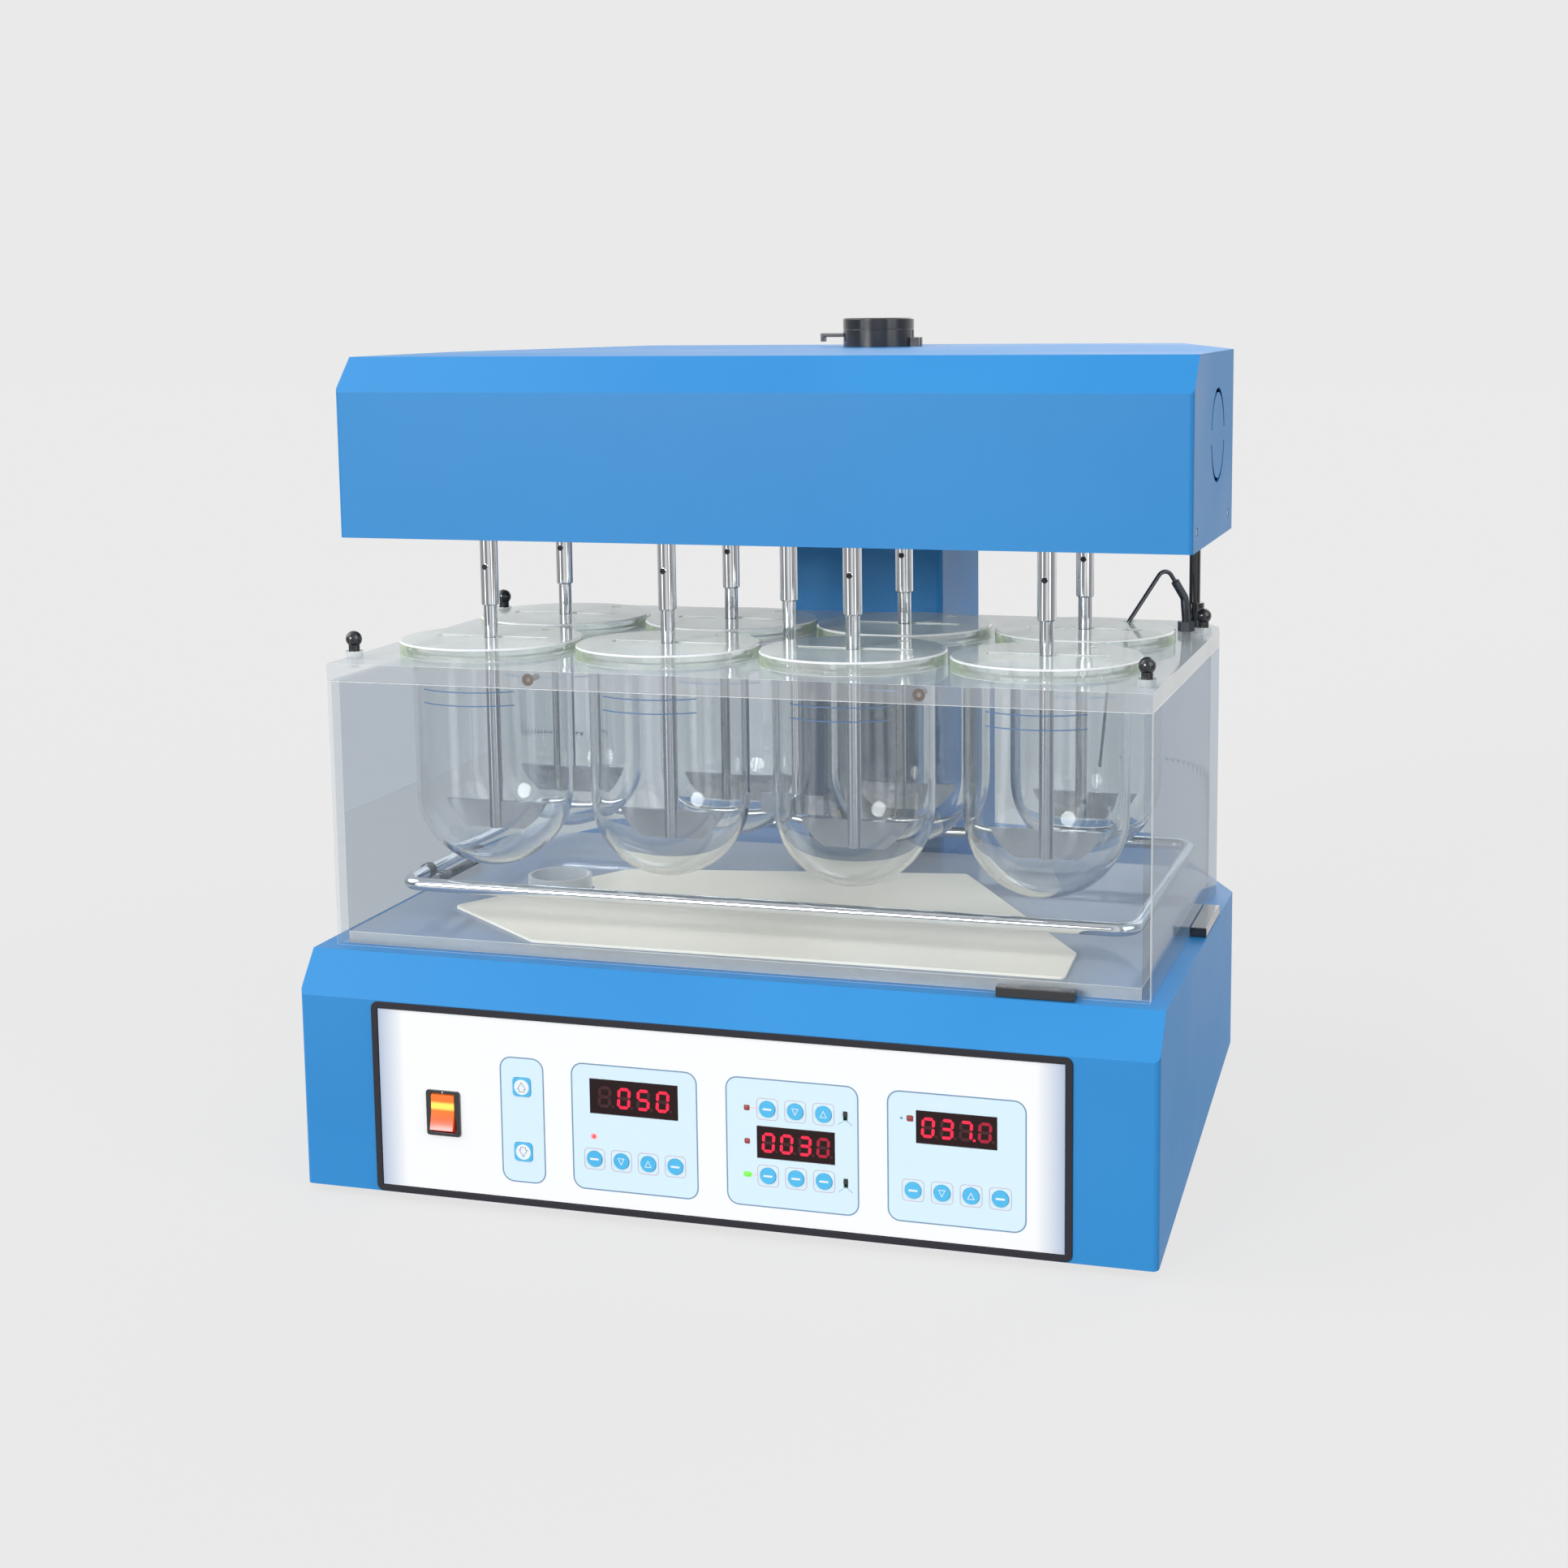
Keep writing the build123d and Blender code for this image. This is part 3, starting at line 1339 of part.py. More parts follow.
# Head plate: closes the cover below and carries the spindles, the post, the rods and the stop rod
spindle_places = [*vessel_places, (0, spindle_center_y)]
with BuildPart() as head_base_plate:
    with BuildSketch(Plane.XY.offset(head_floor_height)) as head_plate_plan:
        with BuildLine():
            Polyline(*head_plan, close=True)
        make_face()
        offset(amount=-(cover_sheet + seat_gap), kind=Kind.INTERSECTION)
        fillet(head_plate_plan.vertices(), radius=head_corner_radius)
        with Locations(*spindle_places):
            Circle(sleeve_radius + 2 * run_gap, mode=Mode.SUBTRACT)
        with Locations((0, post_y)):
            Circle(post_radius + seat_gap, mode=Mode.SUBTRACT)
        with Locations((-rod_x, rod_y), (rod_x, rod_y)):
            Circle(rod_radius + seat_gap, mode=Mode.SUBTRACT)
        with Locations((stop_rod_x, stop_rod_y)):
            Circle(stop_rod_radius + seat_gap, mode=Mode.SUBTRACT)
    extrude(amount=head_plate_thickness)
head_base_plate.part.label = "head_base_plate"
export_step(head_base_plate.part, "parts/head_base_plate.step")

# Bearings: flanged sleeves on the head plate
with BuildPart() as spindle_bearings:
    with BuildSketch(Plane.XY.offset(head_plate_top)):
        with Locations(*spindle_places):
            Circle(bearing_radius + bearing_flange)
    extrude(amount=bearing_flange_thickness)
    with BuildSketch(Plane.XY.offset(head_plate_top)):
        with Locations(*spindle_places):
            Circle(bearing_radius)
    extrude(amount=bearing_height)
    with BuildSketch(Plane.XY.offset(head_plate_top)):
        with Locations(*spindle_places):
            Circle(sleeve_radius + run_gap)
    extrude(amount=bearing_height, mode=Mode.SUBTRACT)
spindle_bearings.part.label = "spindle_bearings"
export_step(spindle_bearings.part, "parts/spindle_bearings.step")

# Tiers of the belts: the lowest joins the inner and outer spindles, the upper four fan out from the centre
bearing_top = head_plate_top + bearing_height
tier_bottom = [bearing_top + pulley_rise + i * (pulley_width + pulley_gap) for i in range(5)]
inner_places = [(x, y) for x, y in vessel_places if abs(x) < spindle_pitch]
outer_places = [(x, y) for x, y in vessel_places if abs(x) > spindle_pitch]
belt_runs = [((0, spindle_center_y), place, tier_bottom[i + 1]) for i, place in enumerate(inner_places)]
for x, y in outer_places:
    inner_x = x - spindle_pitch if x > 0 else x + spindle_pitch
    belt_runs.append(((inner_x, y), (x, y), tier_bottom[0]))
with BuildPart() as drive_belts:
    for (start_x, start_y), (end_x, end_y), bottom in belt_runs:
        run_length = hypot(end_x - start_x, end_y - start_y)
        run_angle = degrees(atan2(end_y - start_y, end_x - start_x))
        with BuildSketch(Plane.XY.offset(bottom)):
            with Locations(Location(((start_x + end_x) / 2, (start_y + end_y) / 2), run_angle)):
                SlotCenterToCenter(run_length, 2 * (pulley_radius + seat_gap + belt_thickness))
                SlotCenterToCenter(run_length, 2 * (pulley_radius + seat_gap), mode=Mode.SUBTRACT)
        extrude(amount=pulley_width)
drive_belts.part.label = "drive_belts"
export_step(drive_belts.part, "parts/drive_belts.step")

# Stirrers: sleeve with its pulleys, shaft with its paddle, and the set screw that holds the shaft
for number, (x, y) in enumerate(vessel_places, start=1):
    tiers = [tier_bottom[0]]
    if (x, y) in inner_places:
        tiers.append(tier_bottom[inner_places.index((x, y)) + 1])
    sleeve_top = tiers[-1] + pulley_width
    with BuildPart() as sleeve:
        with BuildSketch(Plane.XY.offset(sleeve_bottom_height)):
            with Locations((x, y)):
                Circle(sleeve_radius)
        extrude(amount=sleeve_top - sleeve_bottom_height)
        chamfer(sleeve.faces().sort_by(Axis.Z)[0].edges(), length=sleeve_chamfer)
        for tier in tiers:
            with BuildSketch(Plane.XY.offset(tier)):
                with Locations((x, y)):
                    Circle(pulley_radius)
            extrude(amount=pulley_width)
        with BuildSketch(Plane.XY.offset(sleeve_bottom_height)):
            with Locations((x, y)):
                Circle(shaft_radius + run_gap)
        extrude(amount=sleeve_top - sleeve_bottom_height, mode=Mode.SUBTRACT)
        with BuildSketch(Plane.XZ.offset(-y)):
            with Locations((x, set_screw_height)):
                Circle(set_screw_radius)
        extrude(amount=sleeve_radius + cut_over, mode=Mode.SUBTRACT)
    with BuildPart() as paddle_shaft:
        with BuildSketch(Plane.XY.offset(paddle_bottom_height)):
            with Locations((x, y)):
                Circle(shaft_radius)
        extrude(amount=sleeve_top - paddle_bottom_height)
        with BuildSketch(Plane.XZ.offset(-y - paddle_thickness / 2)):
            with BuildLine():
                Line(
                    (x - paddle_bottom_width / 2, paddle_bottom_height),
                    (x + paddle_bottom_width / 2, paddle_bottom_height),
                )
                RadiusArc(
                    (x + paddle_bottom_width / 2, paddle_bottom_height),
                    (x + paddle_top_width / 2, paddle_bottom_height + paddle_height),
                    -paddle_side_radius,
                )
                Line(
                    (x + paddle_top_width / 2, paddle_bottom_height + paddle_height),
                    (x - paddle_top_width / 2, paddle_bottom_height + paddle_height),
                )
                RadiusArc(
                    (x - paddle_top_width / 2, paddle_bottom_height + paddle_height),
                    (x - paddle_bottom_width / 2, paddle_bottom_height),
                    -paddle_side_radius,
                )
            make_face()
        extrude(amount=paddle_thickness)
    with BuildPart() as set_screw:
        with BuildSketch(Plane.XZ.offset(-y + shaft_radius)):
            with Locations((x, set_screw_height)):
                Circle(set_screw_radius)
        extrude(amount=set_screw_length)
    stirrer = Compound(
        label=f"stirrer_{number}",
        children=[sleeve.part, paddle_shaft.part, set_screw.part],
    )
    export_step(stirrer, f"parts/stirrer_{number}.step")

# Centre spindle: sleeve with four pulleys, and a shaft from the drive motor down to the impeller
centre_top = tier_bottom[-1] + pulley_width
bracket_bottom = centre_top + bracket_lift
bracket_top = bracket_bottom + bracket_thickness
with BuildPart() as centre_sleeve:
    with BuildSketch(Plane.XY.offset(sleeve_bottom_height)):
        with Locations((0, spindle_center_y)):
            Circle(sleeve_radius)
    extrude(amount=centre_top - sleeve_bottom_height)
    chamfer(centre_sleeve.faces().sort_by(Axis.Z)[0].edges(), length=sleeve_chamfer)
    for tier in tier_bottom[1:]:
        with BuildSketch(Plane.XY.offset(tier)):
            with Locations((0, spindle_center_y)):
                Circle(pulley_radius)
        extrude(amount=pulley_width)
    with BuildSketch(Plane.XY.offset(sleeve_bottom_height)):
        with Locations((0, spindle_center_y)):
            Circle(shaft_radius + run_gap)
    extrude(amount=centre_top - sleeve_bottom_height, mode=Mode.SUBTRACT)
with BuildPart() as centre_shaft:
    with BuildSketch(Plane.XY.offset(impeller_bottom_height)):
        with Locations((0, spindle_center_y)):
            Circle(shaft_radius)
    extrude(amount=centre_top - impeller_bottom_height)
    with BuildSketch(Plane.XY.offset(centre_top)):
        with Locations((0, spindle_center_y)):
            Circle(motor_shaft_radius)
    extrude(amount=drive_stub_length)
    with BuildSketch(Plane.XY.offset(impeller_bottom_height)):
        with Locations((0, spindle_center_y)):
            Circle(impeller_hub_radius)
            Rectangle(2 * impeller_radius, impeller_thickness)
            Rectangle(impeller_thickness, 2 * impeller_radius)
    extrude(amount=impeller_height)
bath_stirrer = Compound(label="bath_stirrer", children=[centre_sleeve.part, centre_shaft.part])
export_step(bath_stirrer, "parts/bath_stirrer.step")

# Drive motor on a cross-shaped bracket with four legs
bracket_arm = 2 * bracket_leg_reach + bracket_arm_width
leg_places = [
    (-bracket_leg_reach, spindle_center_y),
    (bracket_leg_reach, spindle_center_y),
    (0, spindle_center_y - bracket_leg_reach),
    (0, spindle_center_y + bracket_leg_reach),
]
with BuildPart() as drive_motor:
    with BuildSketch(Plane.XY.offset(head_plate_top)):
        with Locations(*leg_places):
            Circle(bracket_leg_radius)
    extrude(amount=bracket_bottom - head_plate_top)
    with BuildSketch(Plane.XY.offset(bracket_bottom)):
        with Locations((0, spindle_center_y)):
            RectangleRounded(bracket_arm, bracket_arm_width, bracket_leg_radius)
            RectangleRounded(bracket_arm_width, bracket_arm, bracket_leg_radius)
            Circle(drive_motor_radius)
    extrude(amount=bracket_thickness)
    with BuildSketch(Plane.XY.offset(bracket_top)):
        with Locations((0, spindle_center_y)):
            Circle(drive_motor_radius)
    extrude(amount=drive_motor_height)
    with BuildSketch(Plane.XY.offset(bracket_bottom)):
        with Locations((0, spindle_center_y)):
            Circle(motor_shaft_radius + run_gap)
    extrude(amount=drive_stub_length, mode=Mode.SUBTRACT)
drive_motor.part.label = "drive_motor"
export_step(drive_motor.part, "parts/drive_motor.step")

# Collar on the head's top: split clamp ring with a slot and a pin for the lever, and a cap over the post
collar_bore = post_radius + seat_gap
lever_bottom = head_top + lever_height - lever_thickness / 2
lever_pin_x = -(collar_bore + seat_gap + lever_width / 2)
slot_near_y = post_y - lever_width / 2 - seat_gap
slot_far_y = post_y + collar_radius
with BuildPart() as clamp_ring:
    with BuildSketch(Plane.XY.offset(head_top)):
        with Locations((0, post_y)):
            Circle(collar_radius)
    extrude(amount=collar_ring_height)
    with BuildSketch(Plane.XY.offset(head_top)):
        with Locations((collar_radius, post_y)):
            Rectangle(2 * collar_ear_reach, collar_ear_width)
    extrude(amount=collar_ear_height)
    with BuildSketch(Plane.XY.offset(head_top)):
        with Locations((0, post_y)):
            Circle(collar_bore)
        with Locations((collar_radius, post_y)):
            Rectangle(2 * collar_radius, collar_slit)
    extrude(amount=collar_ring_height, mode=Mode.SUBTRACT)
    with BuildSketch(Plane.XY.offset(lever_bottom - seat_gap)):
        with Locations((-collar_bore - collar_radius / 2, (slot_near_y + slot_far_y) / 2)):
            Rectangle(collar_radius, slot_far_y - slot_near_y)
    extrude(amount=lever_thickness + 2 * seat_gap, mode=Mode.SUBTRACT)
    with BuildSketch(Plane.XY.offset(lever_bottom - seat_gap)):
        with Locations((lever_pin_x, post_y)):
            Circle(lever_pin_radius)
    extrude(amount=lever_thickness + 2 * seat_gap)
with BuildPart() as collar_cap:
    with BuildSketch(Plane.XY.offset(post_top + seat_gap)):
        with Locations((0, post_y)):
            Circle(collar_radius)
    extrude(amount=collar_cap_height)
    chamfer(collar_cap.faces().sort_by(Axis.Z)[-1].edges(), length=collar_chamfer)
post_collar = Compound(label="post_collar", children=[clamp_ring.part, collar_cap.part])
export_step(post_collar, "parts/post_collar.step")

# Lever of the collar: a flat bar with an eye round the pin and a tip that turns down
lever_tip_x = -(collar_radius + lever_reach)
with BuildPart() as collar_lever:
    with BuildSketch(Plane.XY.offset(lever_bottom)):
        with Locations((lever_pin_x, post_y)):
            Circle(lever_width / 2)
        with Locations(((lever_pin_x + lever_tip_x) / 2, post_y)):
            Rectangle(lever_pin_x - lever_tip_x, lever_width)
        with Locations((lever_pin_x, post_y)):
            Circle(lever_pin_radius + run_gap, mode=Mode.SUBTRACT)
    extrude(amount=lever_thickness)
    with BuildSketch(Plane.XY.offset(lever_bottom - lever_tip_drop)):
        with Locations((lever_tip_x + lever_thickness / 2, post_y)):
            Rectangle(lever_thickness, lever_width)
    extrude(amount=lever_tip_drop)
collar_lever.part.label = "collar_lever"
export_step(collar_lever.part, "parts/collar_lever.step")

# Stop rod: threaded rod through the head plate with a nut above and a thick tip just over the vessel plate
stop_tip_bottom = plate_top + seat_gap
stop_nut_height = stop_rod_radius
with BuildPart() as stop_rod:
    with BuildSketch(Plane.XY.offset(stop_tip_bottom)):
        with Locations((stop_rod_x, stop_rod_y)):
            Circle(stop_tip_radius)
    extrude(amount=stop_tip_height)
    with BuildSketch(Plane.XY.offset(stop_tip_bottom)):
        with Locations((stop_rod_x, stop_rod_y)):
            Circle(stop_rod_radius)
    extrude(amount=head_plate_top + 2 * stop_nut_height - stop_tip_bottom)
    with BuildSketch(Plane.XY.offset(head_plate_top)):
        with Locations((stop_rod_x, stop_rod_y)):
            RegularPolygon(stop_tip_radius, 6)
    extrude(amount=stop_nut_height)
stop_rod.part.label = "stop_rod"
export_step(stop_rod.part, "parts/stop_rod.step")
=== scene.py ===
"""Dressing of a bench-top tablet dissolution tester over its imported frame.

Every length in this file is in millimetres. The bench helpers turn it into metres.
"""

import functools
import logging
import math
from collections.abc import Callable, Sequence
from dataclasses import dataclass
from enum import Enum

import bpy
from mathutils import Matrix, Vector


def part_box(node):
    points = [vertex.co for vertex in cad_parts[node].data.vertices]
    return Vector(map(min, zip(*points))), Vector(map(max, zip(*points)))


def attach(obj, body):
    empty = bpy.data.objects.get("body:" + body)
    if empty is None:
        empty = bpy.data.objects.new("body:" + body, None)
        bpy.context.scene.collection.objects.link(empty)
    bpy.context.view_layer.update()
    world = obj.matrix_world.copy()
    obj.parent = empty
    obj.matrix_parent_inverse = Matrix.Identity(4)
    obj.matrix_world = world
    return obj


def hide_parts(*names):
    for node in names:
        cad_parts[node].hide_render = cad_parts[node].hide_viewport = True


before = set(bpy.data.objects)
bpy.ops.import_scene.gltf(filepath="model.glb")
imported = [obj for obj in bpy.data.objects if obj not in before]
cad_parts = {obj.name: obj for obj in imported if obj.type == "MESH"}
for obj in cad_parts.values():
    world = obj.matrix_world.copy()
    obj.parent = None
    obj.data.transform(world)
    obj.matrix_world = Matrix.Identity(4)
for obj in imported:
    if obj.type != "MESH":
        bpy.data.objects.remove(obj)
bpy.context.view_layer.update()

log = logging.getLogger("dissolution_tester")

Object, Material, Node = bpy.types.Object, bpy.types.Material, bpy.types.Node
Socket, Tree = bpy.types.NodeSocket, bpy.types.NodeTree
Pair = tuple[float, float]
Point = tuple[float, float, float]
Colour = tuple[float, float, float]
Shade = tuple[int, int, int]
Value = Colour | Socket | float
Test = Callable[[Vector, Vector], bool]
Zones = Sequence[tuple[int, Test]]

# Distance at which corners are joined, and angles in degrees: faces that are made one, edges
# that are rounded, and edges that stay sharp on copied frame nodes and on turned pieces.
WELD, FLAT_ANGLE, SHARP_ANGLE, SMOOTH_ANGLE, TURNED_SMOOTH = 0.002, 0.5, 35.0, 32.0, 40.0

# Left, right, lower and upper edge of each group on the panel, and the radius of its corners.
GROUPS = {
    "lift_group": (-144.2, -113.2, 21.0, 106.0),
    "speed_group": (-94.0, -7.2, 21.0, 106.0),
    "timer_group": (12.0, 100.0, 21.0, 106.0),
    "temp_group": (118.5, 207.4, 21.0, 106.0),
}
GROUP_CORNER = 8.0
KEYS = sorted(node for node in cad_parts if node.startswith("key_"))

# Ends of a digit's bars in halves of its width and height, and the bars that each mark lights.
BARS = {
    "a": ((-1, 1), (1, 1)), "b": ((1, 1), (1, 0)), "c": ((1, 0), (1, -1)), "d": ((-1, -1), (1, -1)),
    "e": ((-1, 0), (-1, -1)), "f": ((-1, 1), (-1, 0)), "g": ((-1, 0), (1, 0)),
}
LIT_BARS = {"0": "abcdef", "3": "abcdg", "5": "acdfg", "7": "abc", " ": ""}

# Cut edges of a flat clear sheet, and its rounded corners, painted near white as a highlight.
SHEET_EDGES: Zones = (
    (1, lambda c, n: abs(n.z) < 0.2),
    (2, lambda c, n: 0.2 <= abs(n.z) < 0.97),
)


class Slot(Enum):
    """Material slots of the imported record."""

    PAINT = "painted_blue"
    FILM = "fascia_film"
    RUBBER = "black_rubber"
    BLACK = "black_plastic"
    ACRYLIC = "clear_acrylic"
    GLASS = "clear_glass"
    STAINLESS = "stainless"
    CHROME = "bright_steel"
    KEY_BLUE = "key_blue"
    MAT = "ivory_mat"
    ROCKER = "rocker_amber"


class Axis(Enum):
    """Axis that a turned piece is made round."""

    X = (1.0, 0.0, 0.0)
    Y = (0.0, 1.0, 0.0)
    Z = (0.0, 0.0, 1.0)


def metres(millimetres: float) -> float:
    """Turn millimetres into Blender's metres."""
    return millimetres * 0.001


def place(point: Sequence[float]) -> Vector:
    """Turn a point in millimetres into a vector in metres."""
    return Vector([metres(value) for value in point])


def heading(turn: float, climb: float) -> Vector:
    """Way to the rear, turned to the left and climbing by angles in radians."""
    return Vector((-math.sin(turn) * math.cos(climb), math.cos(turn) * math.cos(climb), math.sin(climb)))


def linear(shade: Shade) -> Colour:
    """Turn an eight-bit display colour into the linear colour that shaders take."""
    shares = [value / 255 for value in shade]
    return tuple(s / 12.92 if s <= 0.04045 else ((s + 0.055) / 1.055) ** 2.4 for s in shares)


def low(node: str) -> Vector:
    """Lowest corner of a frame node, in millimetres."""
    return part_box(node)[0] * 1000


def high(node: str) -> Vector:
    """Highest corner of a frame node, in millimetres."""
    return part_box(node)[1] * 1000


def middle(node: str) -> Vector:
    """Middle of a frame node, in millimetres."""
    return (low(node) + high(node)) / 2


class NodeDesk:
    """A node tree under construction, with a few short moves for its nodes."""

    def __init__(self, tree: Tree) -> None:
        """Keep the tree's nodes and links at hand."""
        self.tree, self.nodes, self.links = tree, tree.nodes, tree.links

    def feed(self, socket: Socket, value: Value) -> None:
        """Link a socket to a result, or set its own plain value.

        Args:
            socket: The socket.
            value: Another node's result, a colour or a number.
        """
        if isinstance(value, Socket):
            self.links.new(value, socket)
        else:
            socket.default_value = (*value, 1) if isinstance(value, tuple) else value

    def node(self, kind: str, feeds: dict[str | int, Value] | None = None, **settings: object) -> Node:
        """Add a node.

        Args:
            kind: Kind of the node, as in the shader nodes' names.
            feeds: What goes into each of its inputs.
            **settings: Its own settings.

        Returns:
            The new node.
        """
        made = self.nodes.new(f"ShaderNode{kind}")
        for key, value in settings.items():
            setattr(made, key, value)
        for key, value in (feeds or {}).items():
            self.feed(made.inputs[key], value)
        return made

    def effect(self, tree: Tree, *values: float) -> Sequence[Socket]:
        """Place a shared effect, set its first inputs and give its results."""
        return self.node("Group", dict(enumerate(values)), node_tree=tree).outputs

    def mix(self, mask: Socket, first: Value, second: Value) -> Socket:
        """Mix two colours, the first one where a mask is low."""
        return self.node("Mix", {"Factor": mask, 6: first, 7: second}, data_type="RGBA").outputs[2]

    def math(self, operation: str, *values: Value) -> Socket:
        """Work out one value from sockets and numbers."""
        return self.node("Math", dict(enumerate(values)), operation=operation).outputs[0]

    def spot(self) -> Socket:
        """Give the place on the piece."""
        return self.node("TexCoord").outputs["Object"]

    def place(self) -> tuple[Socket, ...]:
        """Give the place on the piece along X, Y and Z, in metres."""
        return tuple(self.node("SeparateXYZ", {0: self.spot()}).outputs)

    def spread(
        self, mask: Socket, start: float, end: float, lowest: float = 0.3, highest: float = 0.7
    ) -> Socket:
        """Map a mask onto a range of values.

        Args:
            mask: The mask.
            start: Value where the mask is low.
            end: Value where the mask is high.
            lowest: Mask that counts as low.
            highest: Mask that counts as high.

        Returns:
            The mapped value.
        """
        ends = {"From Min": lowest, "From Max": highest, "To Min": start, "To Max": end}
        return self.node("MapRange", {"Value": mask, **ends}).outputs["Result"]

    def layer(self, share: Socket, under: Socket, over: Socket) -> Socket:
        """Lay one shader over another by a share."""
        return self.node("MixShader", {0: share, 1: under, 2: over}).outputs[0]

    def clear(self, tint: Colour) -> Socket:
        """Add a see-through shader of one tint."""
        return self.node("BsdfTransparent", {"Color": tint}).outputs[0]

    def any_of(self, masks: Sequence[Socket]) -> Socket:
        """Join masks into one that is as high as the highest."""
        return functools.reduce(functools.partial(self.math, "MAXIMUM"), masks)


class Effect(NodeDesk):
    """A shared node group under construction, with numbers in and masks out."""

    def __init__(self, name: str, inputs: dict[str, float], outputs: Sequence[str]) -> None:
        """Start the group.

        Args:
            name: Name of the group.
            inputs: Name and default of each value that it takes.
            outputs: Name of each result.
        """
        super().__init__(bpy.data.node_groups.new(name, "ShaderNodeTree"))
        add = functools.partial(self.tree.interface.new_socket, socket_type="NodeSocketFloat")
        for key, value in inputs.items():
            add(key, in_out="INPUT").default_value = value
        for key in outputs:
            add(key, in_out="OUTPUT")
        self.given = self.nodes.new("NodeGroupInput").outputs
        self.results = self.nodes.new("NodeGroupOutput").inputs

    def close(self, *results: Node) -> Tree:
        """Put out what noise nodes give.

        Args:
            *results: The noise node of each result, in order.

        Returns:
            The finished group.
        """
        for socket, noise in zip(self.results, results):
            self.feed(socket, noise.outputs["Fac"])
        return self.tree


@functools.cache
def speckle() -> Tree:
    """Build fine grain with slow clouds, for paint, film and plastic.

    Returns:
        A group that puts out a grain height and a cloud mask, built once.
    """
    inputs = {"Grain Scale": 900.0, "Cloud Scale": 9.0, "Detail": 3.0}
    desk = Effect("grain and clouds", inputs, ("Height", "Cloud"))
    spot, given = desk.spot(), desk.given
    return desk.close(
        desk.node("TexNoise", {"Vector": spot, "Scale": given["Grain Scale"], "Detail": given["Detail"]}),
        desk.node("TexNoise", {"Vector": spot, "Scale": given["Cloud Scale"], "Detail": 4.0}),
    )


@functools.cache
def brushed() -> Tree:
    """Build fine lines along Z with stains, for drawn and turned metal.

    Returns:
        A group that puts out a line height and a mask of stains, built once.
    """
    inputs = {"Across": 2500.0, "Along": 30.0, "Stain Scale": 25.0}
    desk = Effect("drawn lines", inputs, ("Height", "Stain"))
    scales = [desk.given[name] for name in ("Across", "Across", "Along")]
    drawn = [desk.math("MULTIPLY", part, scale) for part, scale in zip(desk.place(), scales)]
    along = desk.node("CombineXYZ", dict(enumerate(drawn))).outputs[0]
    return desk.close(
        desk.node("TexNoise", {"Vector": along, "Scale": 1.0}),
        desk.node("TexNoise", {"Vector": desk.spot(), "Scale": desk.given["Stain Scale"]}),
    )


class Shader(NodeDesk):
    """One material under construction, round one Principled shader."""

    def __init__(self, name: str) -> None:
        """Start a material that holds one Principled shader.

        Args:
            name: Name of the material.
        """
        self.material = bpy.data.materials.new(name)
        self.material.use_nodes = True
        super().__init__(self.material.node_tree)
        self.main = self.nodes["Principled BSDF"]

    def set(self, **values: Value) -> None:
        """Feed the main shader's sockets, named with underscores."""
        for key, value in values.items():
            self.feed(self.main.inputs[key.replace("_", " ")], value)

    def cloud(self, mask: Socket, first: Colour, second: Colour) -> Socket:
        """Let the main shader's colour wander between two colours.

        Args:
            mask: The mask that it follows.
            first: Colour where the mask is low.
            second: Colour where the mask is high.

        Returns:
            The mixed colour.
        """
        tone = self.mix(self.spread(mask, 0, 1), first, second)
        self.set(Base_Color=tone)
        return tone

    def bump(self, height: Socket, strength: float, depth: float) -> None:
        """Feed a height to the main shader's normal, by a share and a depth in millimetres."""
        feeds = {"Strength": strength, "Distance": metres(depth), "Height": height}
        self.set(Normal=self.node("Bump", feeds).outputs[0])

    def let_lamps_through(self, seen: Socket, tint: Colour) -> Material:
        """Finish a clear material, which lets the lamps' light through.

        Args:
            seen: Shader that the eye sees.
            tint: Tint of the lamps' light behind it.

        Returns:
            The finished material.
        """
        shadow = self.node("LightPath").outputs["Is Shadow Ray"]
        whole = self.layer(shadow, seen, self.clear(tint))
        self.feed(self.nodes["Material Output"].inputs["Surface"], whole)
        return self.material


@dataclass(frozen=True)
class Coated:
    """Paint, film, rubber or moulded plastic with grain and slow clouds of tone."""

    name: str
    colour: Shade
    second: Shade
    rough: float = 0.4
    rough_spread: float = 0.08
    grain: float = 900.0
    clouds: float = 9.0
    relief: float = 0.15
    depth: float = 0.05
    coat: float = 0.0
    coat_rough: float = 0.15
    shine: float = 0.5
    glow: float = 0.0

    def make(self) -> Material:
        """Build the material.

        Returns:
            The material.
        """
        shader = Shader(self.name)
        height, cloud = shader.effect(speckle(), self.grain, self.clouds)
        tone = shader.cloud(cloud, linear(self.colour), linear(self.second))
        worn = shader.spread(cloud, self.rough - self.rough_spread, self.rough + self.rough_spread)
        shader.bump(height, self.relief, self.depth)
        shader.set(
            Roughness=worn, Coat_Weight=self.coat, Coat_Roughness=self.coat_rough,
            Specular_IOR_Level=self.shine,
        )
        if self.glow:
            shader.set(Emission_Color=tone, Emission_Strength=self.glow)
        return shader.material


@dataclass(frozen=True)
class Metal:
    """Bare metal with fine lines and a little staining."""

    name: str
    colour: Shade
    stained: Shade
    rough: float = 0.2
    rough_spread: float = 0.06
    across: float = 2500.0
    along: float = 30.0
    relief: float = 0.05
    depth: float = 0.02

    def make(self) -> Material:
        """Build the material.

        Returns:
            The material.
        """
        shader = Shader(self.name)
        height, stain = shader.effect(brushed(), self.across, self.along)
        shader.cloud(stain, linear(self.colour), linear(self.stained))
        worn = shader.spread(stain, self.rough - self.rough_spread, self.rough + self.rough_spread)
        shader.bump(height, self.relief, self.depth)
        shader.set(Roughness=worn, Metallic=1.0)
        return shader.material


